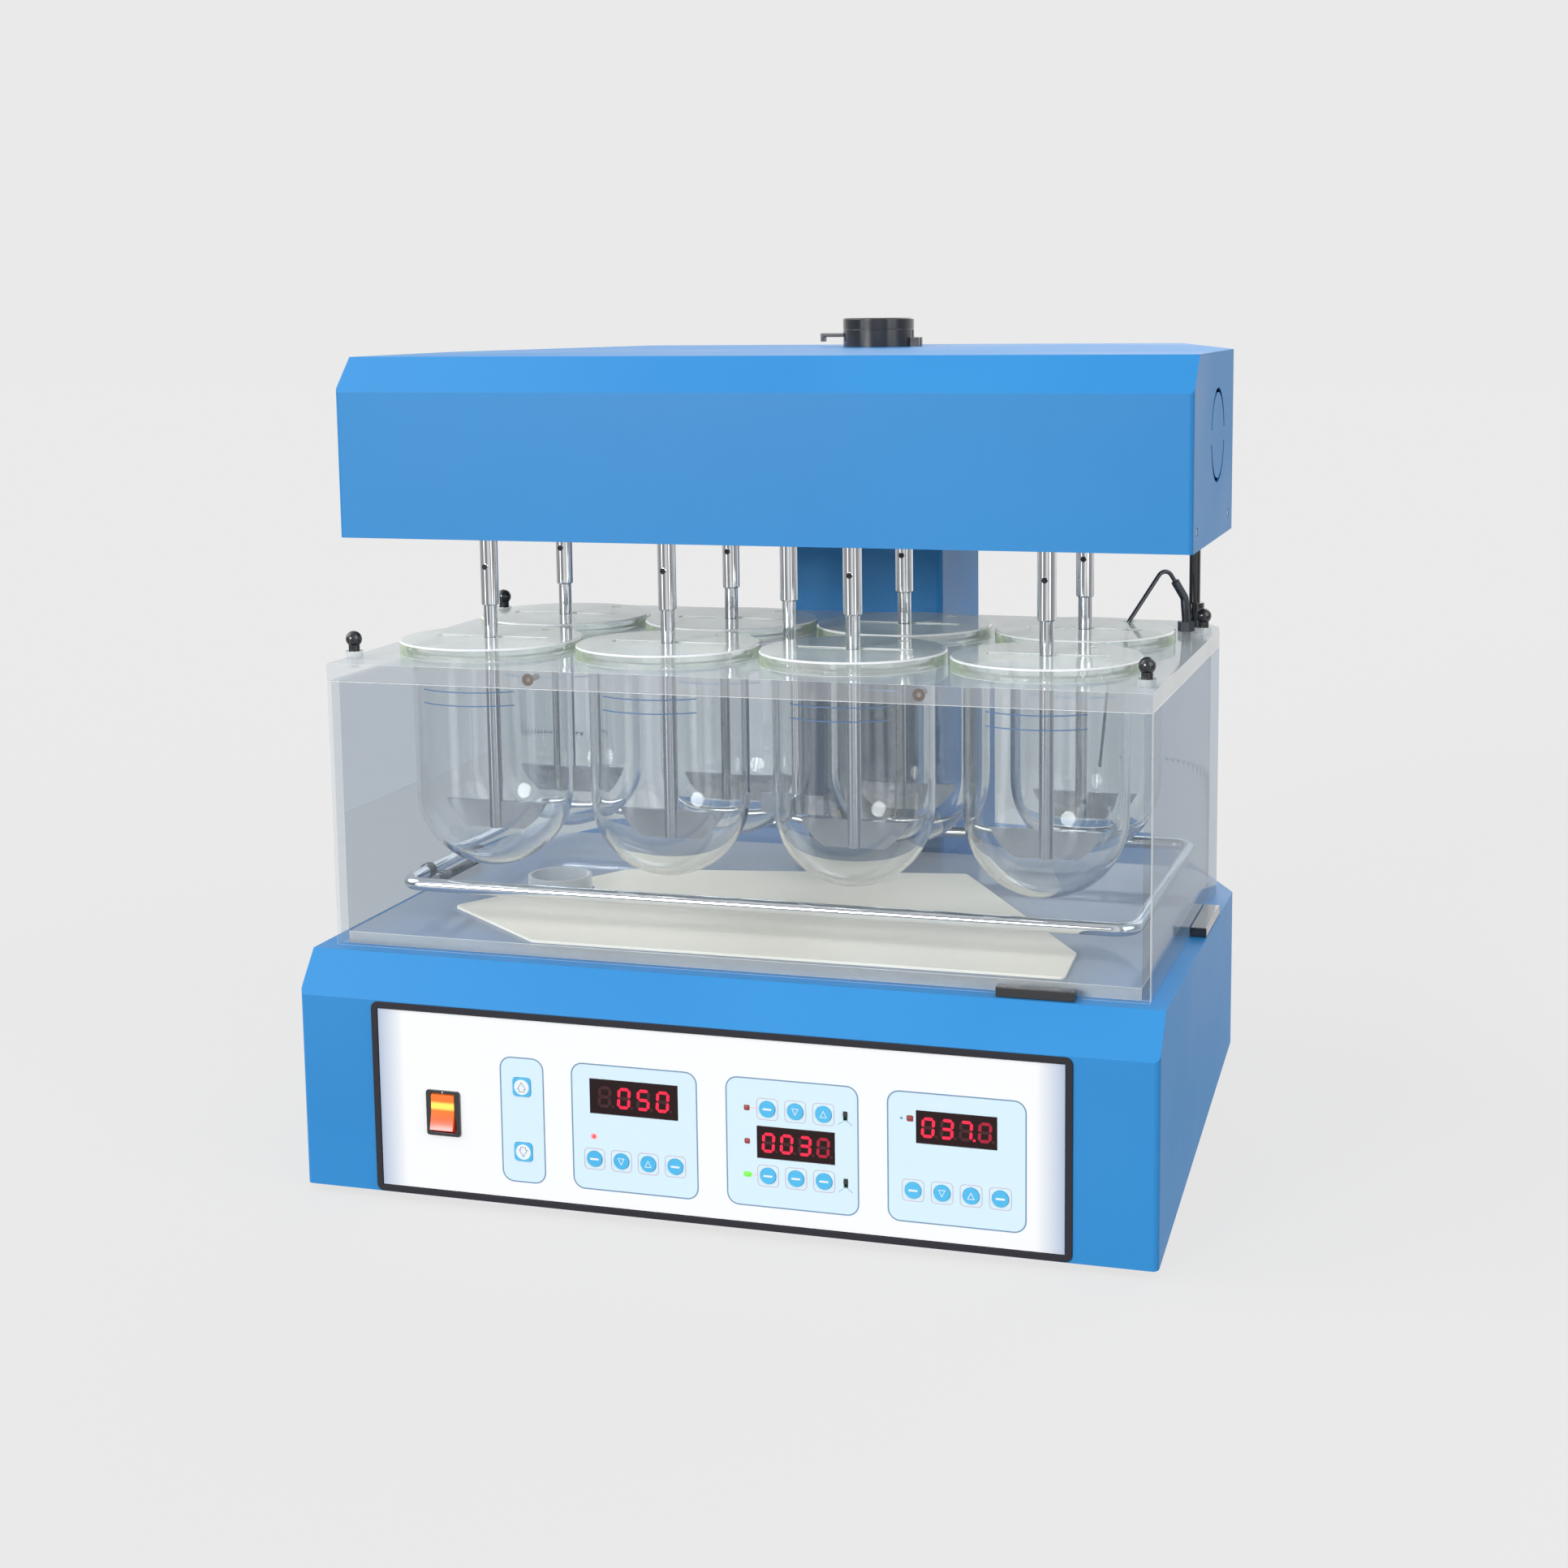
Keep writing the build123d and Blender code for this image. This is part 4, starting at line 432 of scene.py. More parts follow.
@dataclass(frozen=True)
class ClearSheet:
    """Clear acrylic: seen through, with gloss at a slant and a little haze on its near faces."""

    name: str
    tint: Colour
    haze_tone: Shade
    haze: float = 0.05
    gloss: float = 1.6
    slant_tone: Shade | None = None
    rough: float = 0.04
    rougher: float = 0.09
    most: float = 0.95
    lamp_tint: Colour = (0.975, 0.98, 0.982)

    def make(self) -> Material:
        """Build the material.

        Returns:
            The material.
        """
        shader = Shader(self.name)
        height, cloud = shader.effect(speckle(), 160.0, 14.0)
        pale = linear(self.haze_tone)
        tone = shader.cloud(cloud, pale, tuple(channel * 0.9 for channel in pale))
        if self.slant_tone is not None:
            facing = shader.node("LayerWeight", {"Blend": 0.5}).outputs["Facing"]
            turned_away = shader.spread(facing, 0.0, 1.0, 0.25, 0.7)
            shader.set(Base_Color=shader.mix(turned_away, tone, linear(self.slant_tone)))
        shader.set(Roughness=shader.spread(height, self.rough, self.rougher), IOR=1.49)
        slant = shader.node("Fresnel", {"IOR": 1.45}).outputs[0]
        share = shader.math("MULTIPLY_ADD", slant, self.gloss, self.haze)
        near = shader.math("SUBTRACT", 1.0, shader.node("NewGeometry").outputs["Backfacing"])
        shown = shader.math("MULTIPLY", shader.math("MINIMUM", share, self.most), near)
        seen = shader.layer(shown, shader.clear(self.tint), shader.main.outputs[0])
        return shader.let_lamps_through(seen, self.lamp_tint)


@dataclass(frozen=True)
class Glass:
    """Clear glass that bends light and lets lamps through."""

    name: str
    tint: Colour
    rough: float = 0.02
    ior: float = 1.47
    relief: float = 0.02
    depth: float = 0.05
    lamp_tint: Colour = (0.985, 0.988, 0.988)

    def make(self) -> Material:
        """Build the material.

        Returns:
            The material.
        """
        shader = Shader(self.name)
        height, cloud = shader.effect(speckle(), 120.0, 20.0)
        shader.cloud(cloud, self.tint, tuple(channel * 0.98 for channel in self.tint))
        shader.bump(height, self.relief, self.depth)
        shader.set(Transmission_Weight=1.0, IOR=self.ior, Roughness=self.rough)
        return shader.let_lamps_through(shader.main.outputs[0], self.lamp_tint)


@dataclass(frozen=True)
class GroupFilm:
    """White film of the control panel with a pale patch behind each group of controls, greyer blue towards
    both ends.
    """

    name: str
    white: Shade
    patch: Shade
    end_tone: Shade
    fade_start: float = 213.0
    fade_end: float = 232.0
    fade: float = 0.8

    def make(self) -> Material:
        """Build the material.

        Returns:
            The material.
        """
        shader = Shader(self.name)
        height, cloud = shader.effect(speckle(), 1500.0, 12.0)
        x, _, z = shader.place()
        patches = shader.any_of([self.patch_mask(shader, x, z, edges) for edges in GROUPS.values()])
        tone = shader.mix(patches, linear(self.white), linear(self.patch))
        away, fading = shader.math("ABSOLUTE", x), (metres(self.fade_start), metres(self.fade_end))
        tone = shader.mix(shader.spread(away, 0.0, self.fade, *fading), tone, linear(self.end_tone))
        shader.set(Base_Color=tone, Roughness=shader.spread(cloud, 0.32, 0.42))
        shader.bump(height, 0.1, 0.02)
        return shader.material

    def patch_mask(self, shader: Shader, x: Socket, z: Socket, edges: Sequence[float]) -> Socket:
        """Mask one rounded patch, from the distance to its edge.

        Args:
            shader: The material under construction.
            x: Place along X.
            z: Place along Z.
            edges: Left, right, lower and upper edge.

        Returns:
            One inside the patch and nothing outside it.
        """
        squares = []
        for socket, (first, last) in ((x, edges[:2]), (z, edges[2:])):
            away = shader.math("ABSOLUTE", shader.math("SUBTRACT", socket, metres((first + last) / 2)))
            rest = shader.math("SUBTRACT", away, metres((last - first) / 2 - GROUP_CORNER))
            rest = shader.math("MAXIMUM", rest, 0.0)
            squares.append(shader.math("MULTIPLY", rest, rest))
        return shader.math("LESS_THAN", shader.math("ADD", *squares), metres(GROUP_CORNER) ** 2)


@dataclass(frozen=True)
class LitRocker:
    """Lit amber rocker: a redder lower half, and a bright band near its top that is a painted highlight."""

    name: str
    amber: Shade
    painted_highlight: Shade
    red: Shade
    bottom: float = 53.0
    highlight_at: float = 68.6
    highlight_width: float = 4.6
    glow: float = 0.3

    def make(self) -> Material:
        """Build the material.

        Returns:
            The material.
        """
        shader = Shader(self.name)
        relief, cloud = shader.effect(speckle(), 700.0, 60.0)
        z = shader.place()[2]
        height = shader.spread(z, 0.0, 1.0, metres(self.bottom), metres(self.highlight_at - 5.0))
        tone = shader.mix(height, linear(self.red), linear(self.amber))
        # The pale band is a painted highlight, where the rocker's crease catches the light.
        away = shader.math("ABSOLUTE", shader.math("SUBTRACT", z, metres(self.highlight_at)))
        edges = metres(self.highlight_width * 0.3), metres(self.highlight_width * 0.7)
        tone = shader.mix(shader.spread(away, 1.0, 0.0, *edges), tone, linear(self.painted_highlight))
        shader.bump(relief, 0.05, 0.02)
        shader.set(
            Base_Color=tone, Emission_Color=tone, Emission_Strength=self.glow,
            Roughness=shader.spread(cloud, 0.18, 0.3), Coat_Weight=0.3, Coat_Roughness=0.1,
        )
        return shader.material


class Look(Enum):
    """The finishes of the machine."""

    PAINT = Coated(
        "blue sheet paint", (38, 132, 200), (44, 138, 205), 0.44, grain=430.0, clouds=5.0, relief=0.3,
        coat=0.04, shine=0.36,
    )
    RUBBER = Coated("black rubber", (26, 26, 34), (36, 36, 44), 0.6, grain=1400.0, relief=0.3, shine=0.3)
    BLACK = Coated(
        "black moulded plastic", (22, 23, 27), (30, 31, 36), 0.2, 0.04, grain=1800.0, relief=0.05, coat=0.5
    )
    MAT = Coated("ivory mat", (250, 247, 236), (243, 239, 225), 0.7, grain=700.0, relief=0.3)
    BOARD = Coated("green board", (38, 92, 58), (46, 104, 66), grain=1200.0)
    CAST = Coated("dark motor paint", (40, 41, 44), (50, 51, 54), 0.5)

    FILM = GroupFilm("control panel film", (248, 250, 252), (217, 240, 252), (150, 172, 204))
    WINDOW = Coated("dark display window", (30, 14, 16), (38, 18, 20), 0.3, 0.03, relief=0.02, shine=0.2)
    DIGIT_LIT = Coated("lit red segment", (232, 38, 70), (240, 50, 78), shine=0.2, glow=0.3)
    DIGIT_FAINT = Coated("faint red segment", (172, 34, 58), (180, 42, 64), shine=0.2)
    DIGIT_DARK = Coated("unlit segment", (66, 36, 40), (72, 40, 44), shine=0.2)
    LINE = Coated("grey blue ink", (104, 140, 172), (116, 150, 180), 0.45)
    PINK = Coated("pink grey ink", (198, 172, 190), (206, 182, 198), 0.45)
    # Pink painted glow round the lit speed lamp, and the same pink as ink for the timer's short lines.
    HALO = Coated("painted pink glow and pink ink", (255, 178, 190), (255, 190, 200), 0.45)
    WHITE_INK = Coated("white ink", (240, 246, 250), (230, 238, 244), 0.45)
    GREY_INK = Coated("grey ink", (108, 140, 170), (120, 150, 178), 0.45)
    PALE_LINE = Coated("pale blue ink", (122, 170, 204), (134, 178, 210), 0.45)
    KEY_BLUE = Coated("blue key", (72, 182, 234), (84, 190, 238), 0.35, grain=1500.0, coat=0.1)
    ROCKER = LitRocker("lit amber rocker", (240, 108, 30), (255, 214, 88), (206, 40, 18))
    LAMP_RED = Coated("red lamp", (255, 70, 72), (255, 84, 84), 0.2, glow=0.6)
    LAMP_DIM = Coated("dim lamp", (150, 62, 62), (160, 70, 68), 0.2)
    LAMP_GREEN = Coated("green lamp", (104, 214, 70), (124, 226, 88), 0.2, glow=0.3)
    BLUE_INK = Coated("blue graduation", (62, 108, 160), (74, 120, 170))

    CHROME = Metal("polished steel", (232, 234, 237), (222, 225, 229), 0.08, 0.03)
    STEEL = Metal("drawn stainless steel", (200, 203, 207), (186, 189, 194), 0.24)
    # Darker copy of the drawn steel for the parts under the vessel plate: painted shade.
    WET_STEEL = Metal("dull drawn steel in painted shade", (168, 173, 182), (150, 156, 166))
    DARK_STEEL = Metal("dark drawn steel", (96, 100, 106), (80, 84, 90), 0.3)
    SCREW = Metal("bronzed screw", (116, 106, 101), (80, 72, 68), 0.42)
    ZINC = Metal("plated screw", (190, 192, 194), (170, 172, 175), 0.3)

    ACRYLIC = ClearSheet("clear tank sheet", (0.77, 0.802, 0.832), (160, 184, 206), 0.03, 1.2)
    FRONT_SHEET = ClearSheet("clear front sheet", (0.968, 0.975, 0.98), (204, 214, 222), 0.07, 1.2)
    FLOOR_SHEET = ClearSheet("clear floor sheet", (0.94, 0.95, 0.96), (212, 220, 230), 0.26, 1.0)
    PLATE = ClearSheet("clear plate sheet", (0.93, 0.945, 0.95), (206, 216, 220), 0.06)
    LID = ClearSheet("clear lid", (0.95, 0.965, 0.96), (226, 238, 236))
    ACRYLIC_EDGE = ClearSheet("cut sheet edge", (0.93, 0.94, 0.945), (222, 227, 231), 0.27)
    # Near-white haze on the rounded corners of clear sheets: a painted highlight.
    BRIGHT_EDGE = ClearSheet("painted highlight on sheet corners", (0.95, 0.96, 0.965), (248, 250, 252), 0.8)
    LID_EDGE = ClearSheet(
        "green lid edge", (0.95, 0.97, 0.955), (232, 240, 234), 0.34, slant_tone=(168, 188, 150)
    )
    SLEEVE = ClearSheet("clear sleeve", (0.92, 0.93, 0.94), (226, 232, 236), 0.3)
    FLOOR_EDGE = ClearSheet("floor sheet edge", (0.9, 0.9, 0.88), (222, 219, 206), 0.9, 0.4)
    GLASS = Glass("clear glass", (0.975, 0.985, 0.985))

    @functools.cache
    def material(self) -> Material:
        """Build the finish the first time, and give it again after that."""
        return self.value.make()


def clear() -> None:
    """Deselect every object."""
    bpy.ops.object.select_all(action="DESELECT")


def pick(piece: Object) -> None:
    """Make one object the only selected and active one.

    Args:
        piece: The object.
    """
    clear()
    piece.select_set(True)
    bpy.context.view_layer.objects.active = piece


def named(name: str) -> Object:
    """Name the primitive that was just added, and apply its size and place.

    Args:
        name: Its name.

    Returns:
        The primitive, with its place in its mesh.
    """
    piece = bpy.context.object
    piece.name = piece.data.name = name
    bpy.ops.object.transform_apply(location=True, rotation=True, scale=True)
    return piece


def edit(piece: Object, mode: str = "VERT") -> None:
    """Enter edit mode on a piece with all of it selected.

    Args:
        piece: The piece.
        mode: What is selected: corners, edges or faces.
    """
    pick(piece)
    bpy.ops.object.mode_set(mode="EDIT")
    bpy.ops.mesh.select_mode(type=mode)
    bpy.ops.mesh.select_all(action="SELECT")


def done() -> None:
    """Leave edit mode."""
    bpy.ops.object.mode_set(mode="OBJECT")


def chain(name: str, points: Sequence[Sequence[float]]) -> Object:
    """Draw a line of edges, one extruded corner at a time, and stay in edit mode.

    Args:
        name: Name of the new piece.
        points: Its corners, in order.

    Returns:
        The open line, all of it selected.
    """
    clear()
    bpy.ops.mesh.primitive_plane_add(size=0.01, location=place(points[0]))
    piece = named(name)
    edit(piece)
    bpy.ops.mesh.merge(type="CENTER")
    for before, after in zip(points, points[1:]):
        step = place(after) - place(before)
        bpy.ops.mesh.extrude_vertices_move(TRANSFORM_OT_translate={"value": step})
    bpy.ops.mesh.select_all(action="SELECT")
    return piece


def turned(
    name: str, profile: Sequence[Pair], centre: Sequence[float], steps: int, axis: Axis,
    sweep: float = 360.0, start: float = 0.0,
) -> Object:
    """Spin a profile round an axis, as on a lathe.

    Args:
        name: Name of the new piece.
        profile: Pairs of radius and place along the axis.
        centre: Point of the axis from which the profile's places count.
        steps: Number of steps of the spin.
        axis: Axis of the spin.
        sweep: Angle of the spin in degrees.
        start: Angle at which a part turn begins, in degrees.

    Returns:
        The turned piece, with its normals outward.
    """
    c, s = math.cos(math.radians(start)), math.sin(math.radians(start))
    out = Vector({Axis.X: (0, c, s), Axis.Y: (c, 0, -s), Axis.Z: (c, s, 0)}[axis])
    along, hub = Vector(axis.value), Vector(centre)
    piece = chain(name, [hub + out * radius + along * height for radius, height in profile])
    bpy.ops.mesh.spin(steps=steps, angle=-math.radians(sweep), center=place(hub), axis=axis.value)
    bpy.ops.mesh.select_all(action="SELECT")
    bpy.ops.mesh.remove_doubles(threshold=metres(0.001))
    bpy.ops.mesh.normals_make_consistent(inside=False)
    done()
    return piece


def modify(piece: Object, kind: str, **values: object) -> Object:
    """Add one modifier, set it and apply it.

    Args:
        piece: The piece to change.
        kind: Kind of the modifier.
        **values: Its settings.

    Returns:
        The same piece.
    """
    pick(piece)
    modifier = piece.modifiers.new(kind.title(), kind)
    for key, value in values.items():
        setattr(modifier, key, value)
    bpy.ops.object.modifier_apply(modifier=modifier.name)
    return piece


def round_edges(piece: Object, width: float, segments: int = 2) -> None:
    """Round a piece's sharp edges to a width, with some faces across."""
    modify(
        piece, "BEVEL", width=metres(width), segments=segments, limit_method="ANGLE",
        angle_limit=math.radians(SHARP_ANGLE), use_clamp_overlap=True,
    )


def smooth(piece: Object, angle: float = TURNED_SMOOTH) -> Object:
    """Shade a piece smooth, apart from its sharp edges.

    Args:
        piece: The piece to change.
        angle: Least angle between two faces whose edge stays sharp, in degrees.

    Returns:
        The same piece.
    """
    pick(piece)
    bpy.ops.object.shade_smooth_by_angle(angle=math.radians(angle))
    return piece


def copied(piece: Object, name: str, shift: Point) -> Object:
    """Copy a piece to another place.

    Args:
        piece: The piece to copy.
        name: Name of the copy.
        shift: Way from the piece to the copy.

    Returns:
        The copy, with its own mesh.
    """
    pick(piece)
    bpy.ops.object.duplicate()
    copy = bpy.context.object
    copy.name = copy.data.name = name
    edit(copy)
    bpy.ops.transform.translate(value=place(shift))
    done()
    return copy


def join(pieces: Sequence[Object], name: str) -> Object:
    """Join pieces into one.

    Args:
        pieces: The pieces, of which the first one takes up the others.
        name: Its new name.

    Returns:
        The first piece.
    """
    pick(pieces[0])
    for piece in pieces[1:]:
        piece.select_set(True)
    bpy.ops.object.join()
    pieces[0].name = pieces[0].data.name = name
    return pieces[0]


def coat(piece: Object, *looks: Look) -> None:
    """Give a piece its finishes.

    Args:
        piece: The piece.
        *looks: Its finishes, the first one all over.
    """
    piece.data.materials.clear()
    for look in looks:
        piece.data.materials.append(look.material())


def dress(
    piece: Object, body: str, *looks: Look, slot: Slot | None = None, stands_for: Sequence[str] = (),
    zones: Zones = (),
) -> None:
    """Give a piece its finishes, let it ride on its body and report it.

    Args:
        piece: The finished piece.
        body: Body of the frame that carries it.
        *looks: Its finishes, the first one all over.
        slot: Material slot of the record; not used.
        stands_for: Frame nodes that it replaces.
        zones: Place of another of its finishes, and a test of a face's middle and normal
            for the faces that take it.
    """
    coat(piece, *looks)
    for polygon in piece.data.polygons:
        for index, test in zones:
            if test(polygon.center * 1000, polygon.normal):
                polygon.material_index = index
    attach(piece, body)
    if stands_for:
        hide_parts(*stands_for)
    log.info("%s rides on %s, %d faces", piece.name, body, len(piece.data.polygons))


def renew(
    node: str, name: str, edge: float, body: str, slot: Slot, *looks: Look, segments: int = 2,
    cutters: Sequence[Object] = (), zones: Zones = (),
) -> None:
    """Dress a copy of a frame node, with its loose triangles joined and its edges softened.

    Args:
        node: The frame node that the copy stands for.
        name: Name of the copy.
        edge: Width of the rounding on its sharp edges.
        body: Body of the frame that carries it.
        slot: Material slot of the record, handed on to dress.
        *looks: Its finishes, the first one all over.
        segments: Faces across the rounding.
        cutters: Pieces that are cut out of it, and used up.
        zones: Faces with another finish, as in dress.
    """
    pick(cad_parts[node])
    bpy.ops.object.duplicate()
    piece = bpy.context.object
    for key in list(piece.keys()):
        del piece[key]
    piece.parent = None
    piece.name = piece.data.name = name
    piece.data.materials.clear()
    edit(piece)
    bpy.ops.mesh.remove_doubles(threshold=metres(WELD))
    bpy.ops.mesh.dissolve_limited(angle_limit=math.radians(FLAT_ANGLE))
    done()
    for cutter in cutters:
        modify(piece, "BOOLEAN", operation="DIFFERENCE", solver="EXACT", object=cutter)
        bpy.data.objects.remove(cutter)
    if edge:
        round_edges(piece, edge, segments)
    modify(smooth(piece, SMOOTH_ANGLE), "WEIGHTED_NORMAL", weight=50, keep_sharp=True)
    dress(piece, body, *looks, slot=slot, stands_for=[node], zones=zones)


@dataclass(frozen=True)
class Print:
    """Thin ink on an upright face that looks to the front.

    Attributes:
        face: Place of the face along Y.
        ink: Thickness of the ink.
        corner: Radius of its corners, or nothing for sharp ones.
        line: Width of the printed line, or nothing for a filled shape.
    """

    face: float
    ink: float = 0.06
    corner: float = 0.0
    line: float = 0.0

    def shape(self, name: str, corners: Sequence[Pair]) -> Object:
        """Print a shape from its corners.

        Args:
            name: Name of the new piece.
            corners: Its corners along X and Z, in order.

        Returns:
            The thin shape, just in front of the face.
        """
        piece = chain(name, [(x, self.face, z) for x, z in corners])
        bpy.ops.mesh.edge_face_add()
        if self.corner:
            bpy.ops.mesh.bevel(offset=metres(self.corner), segments=6, affect="VERTICES")
        done()
        looks_back = piece.data.polygons[0].normal.y > 0
        edit(piece, "FACE")
        if looks_back:
            bpy.ops.mesh.flip_normals()
        if self.line:
            bpy.ops.mesh.inset(thickness=metres(self.line))
            bpy.ops.mesh.delete(type="FACE")
        done()
        return modify(piece, "SOLIDIFY", thickness=metres(self.ink), offset=1.0)

    def patch(self, name: str, centre: Pair, size: Pair) -> Object:
        """Print a rectangle.

        Args:
            name: Name of the new piece.
            centre: Its middle along X and Z.
            size: Its width and height.

        Returns:
            The thin rectangle, just in front of the face.
        """
        (x, z), (width, height) = centre, (size[0] / 2, size[1] / 2)
        corners = ((-width, -height), (width, -height), (width, height), (-width, height))
        return self.shape(name, [(x + across, z + up) for across, up in corners])


@dataclass
class Studio:
    """Camera, floor, backdrop light and soft lamps.

    The stops give the brightness of the room by bearing in degrees. The lamps have a name, a
    bearing from the front, a height in degrees, a brightness and a width in degrees.
    """

    eye: Point = (506.76, -1635.87, 590.17)
    yaw: float = 16.63
    pitch: float = -8.07
    roll: float = -0.55
    lens: float = 54.99
    sensor: float = 36.0
    shift: Pair = (-0.03847, -0.08986)
    floor_size: float = 30000.0
    pale: float = 0.823
    floor_tone: float = 0.1
    floor_level: float = 1.06
    round_level: float = 0.4
    strip_level: float = 2.2
    near_floor: float = 500.0
    far_floor: float = 1500.0
    flag_stops: tuple[Pair, ...] = (
        (-180, 0.86), (180, 0.86), (-125, 0.8), (-95, 0.4), (-60, 0.3), (-47, 0.3), (-42, 2.2),
        (-36, 2.2), (-31, 0.3), (-10, 0.26), (6, 0.75), (17, 0.9), (28, 0.75), (42, 0.28), (48, 2.0),
        (53, 2.0), (58, 0.28), (80, 0.3), (105, 0.5), (130, 0.82),
    )
    lamps: tuple[tuple[str, float, float, float, float], ...] = (
        ("front_lamp", -22.0, 15.0, 0.66, 22.0),
        ("left_lamp", -82.0, 36.0, 0.4, 50.0),
        ("side_lamp", 66.0, 24.0, 0.36, 50.0),
        ("rear_lamp", 170.0, 35.0, 0.25, 60.0),
    )

    def camera(self) -> None:
        """Set the camera at the photograph's place."""
        yaw, pitch, roll = (math.radians(value) for value in (self.yaw, self.pitch, self.roll))
        ahead, side = heading(yaw, pitch), Vector((math.cos(yaw), math.sin(yaw), 0))
        upright = side.cross(ahead)
        right = side * math.cos(roll) + upright * math.sin(roll)
        up = upright * math.cos(roll) - side * math.sin(roll)
        clear()
        bpy.ops.object.camera_add(location=place(self.eye))
        camera = bpy.context.object
        camera.name = "studio_camera"
        camera.rotation_euler = Matrix((right, up, -ahead)).transposed().to_euler()
        camera.data.lens = self.lens
        camera.data.sensor_width = self.sensor
        camera.data.shift_x, camera.data.shift_y = self.shift
        camera.data.clip_end = 100.0
        bpy.context.scene.camera = camera

    def floor(self) -> None:
        """Lay the pale floor, bright to the eye and still able to take a shadow."""
        clear()
        bpy.ops.mesh.primitive_plane_add(size=metres(self.floor_size))
        floor = named("studio_floor")
        edit(floor, "FACE")
        bpy.ops.mesh.subdivide(number_cuts=4)
        done()
        shader = Shader("studio floor")
        cloud = shader.effect(speckle(), 60.0, 2.0)[1]
        tones = [(self.floor_tone * share,) * 3 for share in (0.99, 1.01)]
        path = shader.node("LightPath").outputs
        rays = ("Is Camera Ray", "Is Glossy Ray", "Is Transmission Ray")
        seen = shader.any_of([path[ray] for ray in rays])
        polished = shader.math("GREATER_THAN", path["Glossy Depth"], 0.5)
        x, y, _ = shader.place()
        square = shader.math("ADD", shader.math("MULTIPLY", x, x), shader.math("MULTIPLY", y, y))
        reach = metres(self.near_floor), metres(self.far_floor)
        far = shader.spread(shader.math("SQRT", square), 0.0, 1.0, *reach)
        flagged = shader.math("SUBTRACT", self.flags(shader, x, y), self.pale)
        level = shader.math("MULTIPLY_ADD", flagged, shader.math("MULTIPLY", far, polished), self.pale)
        level = shader.math("SUBTRACT", level, self.floor_tone * self.floor_level)
        level = shader.math("MULTIPLY", seen, shader.math("MAXIMUM", level, 0.0))
        shader.set(
            Base_Color=shader.mix(cloud, *tones), Roughness=1.0, Specular_IOR_Level=0.0,
            Emission_Color=(1, 1, 1), Emission_Strength=level,
        )
        floor.data.materials.append(shader.material)

    def surroundings(self) -> None:
        """Light from all round, with a pale backdrop to the eye and soft bands for gloss."""
        world = bpy.data.worlds.new("studio")
        bpy.context.scene.world = world
        world.use_nodes = True
        desk = NodeDesk(world.node_tree)
        light = desk.nodes["Background"]
        desk.feed(light.inputs["Color"], (1, 1, 1))
        desk.feed(light.inputs["Strength"], self.round_level)
        x, y, z = desk.place()
        upright = desk.spread(desk.math("ABSOLUTE", z), 0.0, 1.0, 0.5, 0.95)
        level = desk.mix(upright, self.flags(desk, x, y), (self.pale,) * 3)
        seen, gloss = (
            desk.node("Background", {"Color": tone}).outputs[0] for tone in ((self.pale,) * 3, level)
        )
        path = desk.node("LightPath").outputs
        straight = desk.any_of([path["Is Camera Ray"], path["Is Transmission Ray"]])
        polished = desk.math("GREATER_THAN", path["Glossy Depth"], 0.5)
        sharp = desk.math("SUBTRACT", 1.0, path["Is Diffuse Ray"])
        whole = desk.layer(straight, light.outputs[0], seen)
        whole = desk.layer(desk.math("MULTIPLY", polished, sharp), whole, gloss)
        desk.feed(desk.nodes["World Output"].inputs["Surface"], whole)

    def flags(self, desk: NodeDesk, x: Socket, y: Socket) -> Socket:
        """Light the pale room, its dark flags and its two strip lamps, by bearing from the front.

        Args:
            desk: Node tree under construction.
            x: Way to the right.
            y: Way to the rear.

        Returns:
            The brightness, as gloss shows it.
        """
        bearing = desk.math("ARCTAN2", x, desk.math("MULTIPLY", y, -1.0))
        ramp = desk.node("ValToRGB", {"Fac": desk.math("MULTIPLY_ADD", bearing, 0.5 / math.pi, 0.5)})
        ramp.color_ramp.interpolation = "EASE"
        stops = ramp.color_ramp.elements
        for index, (degrees, level) in enumerate(self.flag_stops):
            position = degrees / 360 + 0.5
            stop = stops[index] if index < 2 else stops.new(position)
            stop.position = position
            stop.color = (*(level / self.strip_level,) * 3, 1)
        return desk.math("MULTIPLY", ramp.outputs["Color"], self.strip_level)

    def suns(self) -> None:
        """Hang the far soft lamps."""
        for name, azimuth, elevation, level, angle in self.lamps:
            way = heading(math.radians(azimuth), -math.radians(elevation))
            clear()
            bpy.ops.object.light_add(type="SUN", location=-way * 3)
            lamp = bpy.context.object
            lamp.name = name
            lamp.data.energy = level * math.pi
            lamp.data.angle = math.radians(angle)
            lamp.rotation_euler = way.to_track_quat("-Z", "Y").to_euler()

    def build(self) -> None:
        """Set up the whole studio."""
        self.camera()
        self.floor()
        self.surroundings()
        self.suns()
        bpy.context.scene.view_settings.view_transform = "Standard"
        log.info("studio set up")


@dataclass
class BaseUnit:
    """Painted base with its feet, gasket, inlet and chassis plate."""

    edge: float = 1.0
    gasket_edge: float = 0.5
    feet_edge: float = 0.8
    inlet_edge: float = 0.4

    def build(self) -> None:
        """Dress every piece of the base's outside."""
        renew("base_housing", "base_casing", self.edge, "base", Slot.PAINT, Look.PAINT, segments=3)
        renew("fascia_gasket", "panel_gasket", self.gasket_edge, "base", Slot.RUBBER, Look.RUBBER)
        renew("rubber_feet", "soft_feet", self.feet_edge, "base", Slot.RUBBER, Look.RUBBER)
        renew("power_inlet", "inlet_socket_body", self.inlet_edge, "base", Slot.BLACK, Look.BLACK)
        coat(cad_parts["chassis_plate"], Look.STEEL)
        coat(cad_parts["circuit_boards"], Look.BOARD)
        coat(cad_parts["lift_motor"], Look.CAST)


